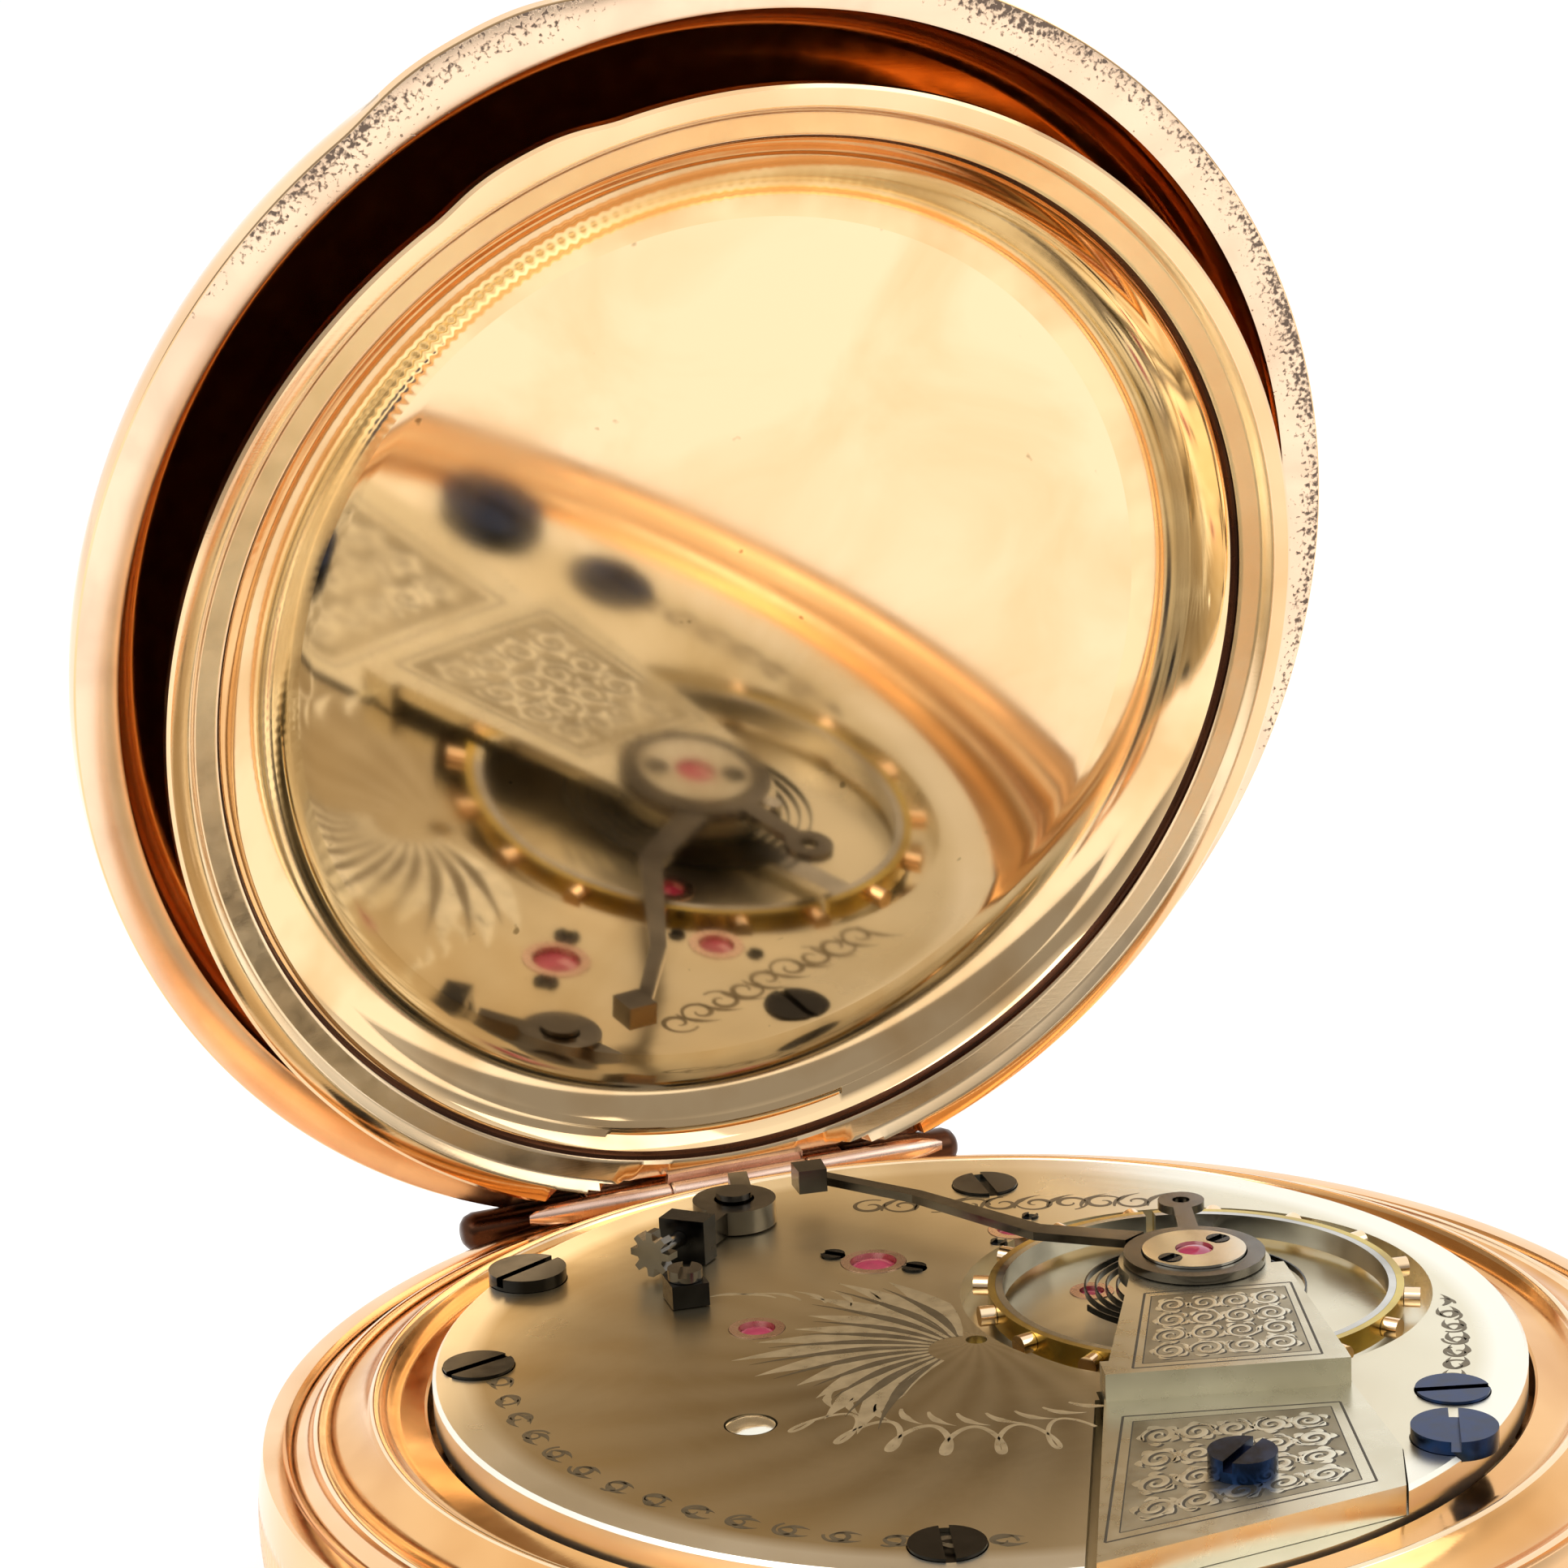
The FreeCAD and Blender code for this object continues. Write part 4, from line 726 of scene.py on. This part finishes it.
def case_centre():
    """Middle ring: two ridges and a channel round the movement, the ridges painted paler gold as highlight
    and the channel darker amber as shade, and a reeded band outside.
    """
    top = [(21.2, 10.82), (21.3, 10.9), (22.2, 10.72)]
    top += arc((22.2, 10.72), (22.65, 10.82), (22.95, 11.15), 5)
    ridge = [(23.05, 11.28), (23.14, 11.33), (23.26, 11.33), (23.36, 11.26)]
    groove = arc((23.36, 11.26), (23.9, 10.65), (24.8, 10.3), 8) + [(25.1, 10.33)]
    ridge_two = [(25.26, 10.42), (25.34, 10.45), (25.46, 10.45), (25.56, 10.38)]
    ledge = arc((25.56, 10.38), (25.95, 9.76), (26.6, 9.78), 8) + [(26.75, 9.93), (27.35, 9.95)]
    band = arc((27.5, 9.9), (27.85, 7.1), (27.5, 4.4), 26) + [(27.3, 4.3)]
    inside = [(22.5, 4.3), (22.5, 5.65), (21.2, 5.65)]
    profile, slots = build_profile([(top, 1), (ridge, 2), (groove, 1), (ridge_two, 2), (ledge, 0),
                                    ([(27.5, 9.9)] + band, 0), (inside, 0)])

    def reshape(point, angle, r):
        x, y, z = point
        if r > 27.45 and 4.7 < z < 8.3:
            fade = min(1.0, (z - 4.7) / 0.3, (8.3 - z) / 0.3)
            reed = 0.5 + 0.5 * math.sin(300 * (angle + 0.011 * (z - 6.5)))
            k = 1 - 0.075 * fade * reed / r
            x, y = x * k, y * k
        beside_hinge = 7.9 < z or z < 6.35
        if abs(x) < BAND_FLAT and y > BAND_FLAT_Y and beside_hinge:
            y = BAND_FLAT_Y
        under_tubes = abs(x) < TUBE_HALF + 0.1 and y > 23.45 and r < 25.2
        if under_tubes:
            z = min(z, 10.4)
        return (x, y, z)

    # the channel takes the darker amber gold as painted shade, the ridges the paler gold as painted highlight
    finishes = [FINISH["case"], FINISH["channel"], FINISH["ridge"]]
    band_ring = lathe("case_band", profile, slots, finishes, segments=1500, reshape=reshape, sharp=40.0)
    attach(band_ring, "movement_case")
    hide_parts("case_centre")


def ribbons(name, strokes, z, material, body, lift=HAIR, transform=None):
    """Flat engraved strokes: each is ([points], start width, middle width, end width)."""
    verts = []
    faces = []
    for points, w0, w1, w2 in strokes:
        if transform:
            points = [transform(p) for p in points]
        count = len(points)
        base = len(verts)
        for i, (x, y) in enumerate(points):
            ax, ay = points[max(i - 1, 0)]
            bx, by = points[min(i + 1, count - 1)]
            length = math.hypot(bx - ax, by - ay) or 1.0
            nx, ny = -(by - ay) / length, (bx - ax) / length
            t = i / (count - 1)
            width = w0 + (w1 - w0) * 2 * t if t < 0.5 else w1 + (w2 - w1) * (2 * t - 1)
            half = max(width, 0.012) / 2
            for side, height in ((-1, 0), (-0.5, lift), (0.5, lift), (1, 0)):
                verts.append((x + nx * half * side, y + ny * half * side, z + height))
        for i in range(count - 1):
            for j in range(3):
                a = base + i * 4 + j
                faces.append((a, a + 1, a + 5, a + 4))
    return add_mesh(name, verts, faces, material, body, 80.0)


def spiral_stroke(cx, cy, radius, start, turns, widths, inner=0.15):
    """Curl that winds in from radius to inner times radius."""
    points = []
    steps = int(24 * abs(turns)) + 6
    for i in range(steps + 1):
        t = i / steps
        r = radius * (1 - t) + radius * inner * t
        a = start + turns * 2 * math.pi * t
        points.append((cx + r * math.cos(a), cy + r * math.sin(a)))
    return (points, *widths)


def leaf_stroke(x, y, angle, length, bend, width):
    """Leaf from (x, y) that swells to width, ends in a point and bends as it goes."""
    points = []
    for i in range(9):
        t = i / 8
        a = angle + bend * t
        points.append((x + length * t * math.cos(a), y + length * t * math.sin(a)))
    return (points, width * 0.3, width, 0.0)


def scroll_panel(rows, columns, seed):
    """Foliate scrollwork in the unit square."""
    rng = random.Random(seed)
    strokes = []
    for i in range(rows):
        for j in range(columns):
            cx = (j + 0.5) / columns
            cy = (i + 0.5) / rows
            turn = 1 if (i + j) % 2 == 0 else -1
            size = 0.42 / max(rows, columns)
            start = rng.uniform(0, 2 * math.pi)
            strokes.append(spiral_stroke(cx, cy, size * 1.15, start, 1.6 * turn, (0.012, 0.026, 0.006)))
            for k in range(5):
                a = start + k * 1.25
                strokes.append(leaf_stroke(cx + size * math.cos(a), cy + size * math.sin(a),
                                           a + 0.7 * turn, size * 0.8, 1.1 * turn, 0.03))
    return strokes


def quad_map(corners):
    """Unit square to a four-cornered panel: corners in order 00, 10, 11, 01."""
    (ax, ay), (bx, by), (cx, cy), (dx, dy) = corners

    def place(p):
        u, v = p
        x = ax * (1 - u) * (1 - v) + bx * u * (1 - v) + cx * u * v + dx * (1 - u) * v
        y = ay * (1 - u) * (1 - v) + by * u * (1 - v) + cy * u * v + dy * (1 - u) * v
        return (x, y)

    return place


def framed_panel(name, corners, z, rows, columns, seed):
    """Engraved panel: matted ground, two border lines and bright scrollwork with dark shadows."""
    place = quad_map(corners)
    span = math.hypot(corners[1][0] - corners[0][0], corners[1][1] - corners[0][1])
    ground = [place(p) for p in ((0.05, 0.05), (0.95, 0.05), (0.95, 0.95), (0.05, 0.95))]
    add_mesh(name + "_ground", [(x, y, z + 0.002) for x, y in ground], [(0, 1, 2, 3)], FINISH["panel"],
             "movement_case")
    border = []
    for inset, width in ((0.0, 0.10), (0.05, 0.06)):
        a, b = inset, 1 - inset
        loop = [(a, a), (b, a), (b, b), (a, b), (a, a)]
        for start, end in zip(loop[:-1], loop[1:]):
            line = [(start[0] + (end[0] - start[0]) * i / 6, start[1] + (end[1] - start[1]) * i / 6)
                    for i in range(7)]
            border.append(([place(p) for p in line], width, width, width))
    ribbons(name + "_border", border, z, FINISH["engraved"], "movement_case")
    scrolls = []
    shadows = []
    for points, w0, w1, w2 in scroll_panel(rows, columns, seed):
        inner = [(0.09 + 0.82 * u, 0.09 + 0.82 * v) for u, v in points]
        scrolls.append(([place(p) for p in inner], w0 * span, w1 * span, w2 * span))
        shifted = [place((u + 0.012, v - 0.012)) for u, v in inner]
        shadows.append((shifted, w0 * span, 0.9 * w1 * span, w2 * span))
    ribbons(name + "_shadow", shadows, z + 0.003, FINISH["engraved"], "movement_case", lift=0.002)
    ribbons(name + "_scrolls", scrolls, z + 0.006, FINISH["engraved_light"], "movement_case", lift=0.003)


def ring_stroke(centre, radius, steps, width):
    """Whole circle as one stroke."""
    angles = [2 * math.pi * i / steps for i in range(steps + 1)]
    points = [(centre[0] + radius * math.cos(a), centre[1] + radius * math.sin(a)) for a in angles]
    return (points, width, width, width)


def fan_ornament(dark, bright):
    """Spread of shaded leaves, like a feather fan, from the plate's middle."""
    for i in range(12):
        a = math.radians(72 + i * 12)
        length = 6.6 + 1.0 * math.sin(i * 1.3)
        x, y = -0.9 + 1.3 * math.cos(a), -0.6 + 1.3 * math.sin(a)
        bright.append(leaf_stroke(x, y, a, length, 0.3, 1.45))
        dark.append(leaf_stroke(x, y, a + 0.13, length * 0.92, 0.25, 0.42))
        x, y = x + 0.4 * math.cos(a), y + 0.4 * math.sin(a)
        dark.append(leaf_stroke(x, y, a + 0.02, length * 0.6, 0.3, 0.18))


def wave_ornament(bright):
    """Tall looping wave round the fan, with loose tendrils beside it."""
    points = []
    for i in range(241):
        t = i / 240
        swing = t * 2 * math.pi * 6
        a = math.radians(203 + 65 * t) + 0.05 * math.cos(swing)
        r = 9.7 + 1.25 * math.sin(swing)
        points.append((r * math.cos(a), r * math.sin(a)))
    bright.append((points, 0.16, 0.27, 0.16))
    for i in range(10):
        a = math.radians(196 + i * 8.5)
        bright.append(leaf_stroke(7.2 * math.cos(a), 7.2 * math.sin(a), a + 0.3, 1.7, 0.6, 0.36))
    for i in range(6):
        x, y = -5.8 + i * 0.75, 8.6 - i * 0.75
        bright.append(leaf_stroke(x, y, 2.2 - i * 0.3, 1.9, 0.6, 0.30))


def rim_fringe(dark):
    """Engraved curls along the plate's edge, in two runs."""
    for a0, a1, count in ((163, 246, 15), (318, 358, 11)):
        for i in range(count):
            a = math.radians(a0 + (a1 - a0) * i / (count - 1))
            x, y = FRINGE_R * math.cos(a), FRINGE_R * math.sin(a)
            dark.append(leaf_stroke(x, y, a + 0.5, 1.2, 0.9, 0.34))
            dark.append(leaf_stroke(x, y, a + 2.6, 1.1, -0.8, 0.26))
            dark.append(spiral_stroke(x - 0.3 * math.sin(a), y + 0.3 * math.cos(a), 0.55, a + i, 1.0,
                                      (0.12, 0.20, 0.06), 0.3))


def flourish(dark):
    """Bold running scroll near the hinge side of the plate."""
    for i in range(9):
        x = 2.6 + i * 1.25
        y = 15.6 - i * 0.62
        dark.append(spiral_stroke(x, y, 0.85, 0.6 + 1.7 * i, 1.2, (0.10, 0.26, 0.06), 0.2))
        dark.append(leaf_stroke(x + 0.2, y - 0.7, 1.2, 1.9, -0.7, 0.30))


def on_plate(strokes):
    """Cut strokes off where they would run into the balance's well."""
    kept = []
    for points, w0, w1, w2 in strokes:
        inside = [i for i, point in enumerate(points) if math.dist(point, BALANCE) < WELL_R]
        points = points[:inside[0]] if inside else points
        if len(points) > 2:
            kept.append((points, w0, w1, w2))
    return kept


def plate_ornament():
    """All engraving on the plate and the cock."""
    dark = []
    bright = []
    fan_ornament(dark, bright)
    wave_ornament(bright)
    rim_fringe(dark)
    flourish(dark)
    dark = on_plate(dark)
    bright = on_plate(bright)
    ribbons("plate_engraving_bright", bright, PLATE_TOP, FINISH["engraved_light"], "movement_case")
    ribbons("plate_engraving_dark", dark, PLATE_TOP + 0.003, FINISH["engraved_soft"], "movement_case")
    arm = [(2.55, -8.05), (9.35, -10.2), (12.0, -3.3), (6.5, -1.6)]
    foot = [(-4.3, -18.9), (6.4, -18.9), (8.9, -12.2), (1.3, -9.6)]
    framed_panel("cock_arm_panel", arm, COCK_TOP, rows=4, columns=4, seed=3)
    framed_panel("cock_foot_panel", foot, PLATE_TOP + 0.12, rows=4, columns=5, seed=5)


def tick_ring(centre, radius, long, short, width):
    """Sixty marks inside a circle, every fifth one long."""
    strokes = []
    for i in range(60):
        a = math.radians(i * 6)
        inner = radius - (long if i % 5 == 0 else short)
        ends = [(centre[0] + r * math.cos(a), centre[1] + r * math.sin(a)) for r in (radius, inner)]
        strokes.append((ends, width, width, width))
    return strokes


def dial_print():
    """Roman chapter ring, minute track and seconds track, on the dial's outer face."""
    strokes = tick_ring((0, 0), CHAPTER_R, 0.9, 0.45, 0.12)
    strokes.append(ring_stroke((0, 0), CHAPTER_R + 0.05, 180, 0.1))
    strokes.append(ring_stroke((0, 0), CHAPTER_R - 1.0, 180, 0.08))
    marks = ["XII", "I", "II", "III", "IIII", "V", "VI", "VII", "VIII", "IX", "X", "XI"]
    for hour, mark in enumerate(marks):
        if mark != "VI":
            strokes += numeral(mark, math.radians(-90 + hour * 30))
    ribbons("dial_chapters", strokes, DIAL_FACE, FINISH["ink"], "movement_case", lift=-HAIR)
    small = [ring_stroke(SECONDS, SECONDS_R, 90, 0.07)]
    small += tick_ring(SECONDS, SECONDS_R, 0.7, 0.35, 0.07)
    ribbons("dial_seconds", small, DIAL_FACE + SECONDS_SUNK, FINISH["ink"], "movement_case", lift=-HAIR)


def numeral(mark, centre):
    """Strokes of one roman numeral, feet towards the dial's middle, read from below."""
    widths = {"I": 0.75, "V": 1.5, "X": 1.5}
    total = sum(widths[c] for c in mark)
    cursor = total / 2
    strokes = []

    def at(u, v):
        r = NUMERAL_FOOT_R + v * NUMERAL_HEIGHT
        a = centre - u / NUMERAL_MID_R
        return (r * math.cos(a), r * math.sin(a))

    for letter in mark:
        half = widths[letter] / 2
        mid = cursor - half
        lines = {
            "I": [((0, 0), (0, 1), 0.34)],
            "V": [((0.45, 1), (0, 0), 0.34), ((-0.45, 1), (0, 0), 0.12)],
            "X": [((0.45, 1), (-0.45, 0), 0.34), ((-0.45, 1), (0.45, 0), 0.12)],
        }[letter]
        for (u0, v0), (u1, v1), width in lines:
            strokes.append(([at(mid + u0, v0), at(mid + u1, v1)], width, width, width))
        for v in (0, 1):
            strokes.append(([at(mid + half * 0.85, v), at(mid - half * 0.85, v)], 0.1, 0.1, 0.1))
        cursor -= widths[letter]
    return strokes


# ------------------------------------------------------------ paint the CAD pieces

PAINTED = {
    "case": ("bezel", "pendant", "crown"),
    "trim": ("jewel_settings", "bow"),
    # the balance screws share the paler ridge gold, which on the case ridges is painted highlight
    "ridge": ("balance_screws",),
    "plate": ("top_plate",),
    "cock": ("main_plate", "pillars", "balance_cock", "potence"),
    "silver": ("cap_setting", "barrel_arbor"),
    "screw": ("plate_screws", "case_screws"),
    "black": ("jewel_screws", "micrometer_blocks", "hairspring"),
    "dark_steel": ("micrometer_screws", "micrometer_spring", "regulator", "mainspring"),
    "steel": ("hinge_pins", "lid_springs", "pendant_sleeve", "stem_collar", "winding_stem", "winding_pinion",
              "crown_wheel", "ratchet_wheel", "click", "cannon_pinion", "escape_wheel", "pallet_fork",
              "roller", "balance_arms", "balance_staff", "hairspring_stud", "wheel_studs"),
    "brass": ("balance_rim", "mainspring_barrel", "centre_wheel", "third_wheel", "fourth_wheel",
              "minute_wheel", "hour_wheel"),
    "blue": ("hour_hand", "minute_hand", "seconds_hand"),
    "ruby": ("train_jewels", "cap_jewel", "pallet_stones"),
    "glass": ("crystal",),
    "enamel": ("dial",),
}
SOFT_EDGES = {
    0.15: ("plate_screws", "case_screws"),
    0.08: ("balance_cock", "cap_setting"),
    0.06: ("micrometer_blocks", "micrometer_spring", "balance_screws"),
    0.05: ("top_plate", "crown", "bezel"),
    0.04: ("regulator", "micrometer_screws"),
}


def paint(node, finish):
    """Give a CAD piece its finish and smooth shading."""
    mesh = frame["nodes"][node].data
    mesh.materials.clear()
    mesh.materials.append(FINISH[finish])
    mesh.polygons.foreach_set("use_smooth", [True] * len(mesh.polygons))
    mesh.set_sharp_from_angle(angle=math.radians(30))


def soften_edges(node, width):
    bevel = frame["nodes"][node].modifiers.new("soft_edges", "BEVEL")
    bevel.width = width * MM
    bevel.segments = 2
    bevel.limit_method = "ANGLE"
    bevel.angle_limit = math.radians(40)
    bevel.harden_normals = True


def paint_nodes():
    """Finish the CAD pieces that stay."""
    for finish, nodes in PAINTED.items():
        for node in nodes:
            paint(node, finish)
    for width, nodes in SOFT_EDGES.items():
        for node in nodes:
            soften_edges(node, width)


# ------------------------------------------------------------ studio

def studio_floor():
    bpy.ops.mesh.primitive_plane_add(size=4.0, location=(0, 0, -0.02 * MM))
    floor = bpy.context.object
    floor.name = "studio_floor"
    material = new_material("studio_floor")[0]
    shader = material.node_tree.nodes["Principled BSDF"]
    shader.inputs["Base Color"].default_value = (0.97, 0.97, 0.97, 1)
    shader.inputs["Roughness"].default_value = 0.9
    floor.data.materials.append(material)


def studio_world():
    """White surroundings, darker low down on the -Y side, where the gold needs something to mirror."""
    world = bpy.data.worlds.new("studio")
    bpy.context.scene.world = world
    world.use_nodes = True
    nodes = world.node_tree.nodes
    links = world.node_tree.links
    background = nodes["Background"]
    background.inputs["Strength"].default_value = 1.15
    coords = nodes.new("ShaderNodeTexCoord").outputs["Generated"]
    parts = nodes.new("ShaderNodeSeparateXYZ")
    links.new(coords, parts.inputs[0])
    depth = remap(nodes, links, parts.outputs["Y"], -0.7, 0.1, 0.30, 1.0)
    height = remap(nodes, links, parts.outputs["Z"], 0.15, 0.75, 0.0, 1.0)
    level = maths(nodes, links, "MAXIMUM", depth, height)
    links.new(ramp(nodes, links, level, [(0.0, grey(0.0)), (1.0, grey(1.0))]), background.inputs["Color"])


def soft_box(name, place, size, power):
    """Square area light, aimed at the origin; place and size are in metres."""
    lamp = bpy.data.lights.new(name, "AREA")
    lamp.size = size
    lamp.energy = power
    obj = bpy.data.objects.new(name, lamp)
    obj.location = place
    obj.rotation_mode = "QUATERNION"
    obj.rotation_quaternion = (-Vector(place)).to_track_quat("-Z", "Y")
    bpy.context.scene.collection.objects.link(obj)


def camera():
    """Low on the pendant side, looking over the movement into the open lids, and slightly rolled."""
    data = bpy.data.cameras.new("camera")
    data.sensor_width = 36.0
    data.lens = 93.17
    data.clip_start = 0.01
    data.clip_end = 20.0
    cam = bpy.data.objects.new("camera", data)
    cam.location = (-62.372 * MM, -132.763 * MM, 70.910 * MM)
    cam.rotation_euler = (math.radians(75.9897), math.radians(2.3641), math.radians(-23.2146))
    bpy.context.scene.collection.objects.link(cam)
    bpy.context.scene.camera = cam
    bpy.context.scene.view_settings.view_transform = "Standard"


paint_nodes()
back_cover()
cuvette()
front_cover()
hinge_box("back_hinge", BACK_HINGE, 1)
hinge_box("front_hinge", FRONT_HINGE, -1)
case_centre()
plate_ornament()
dial_print()
studio_floor()
studio_world()
soft_box("key", (-0.35, -0.10, 0.55), 0.5, 1.6)
soft_box("fill", (0.45, -0.35, 0.40), 0.4, 0.8)
camera()
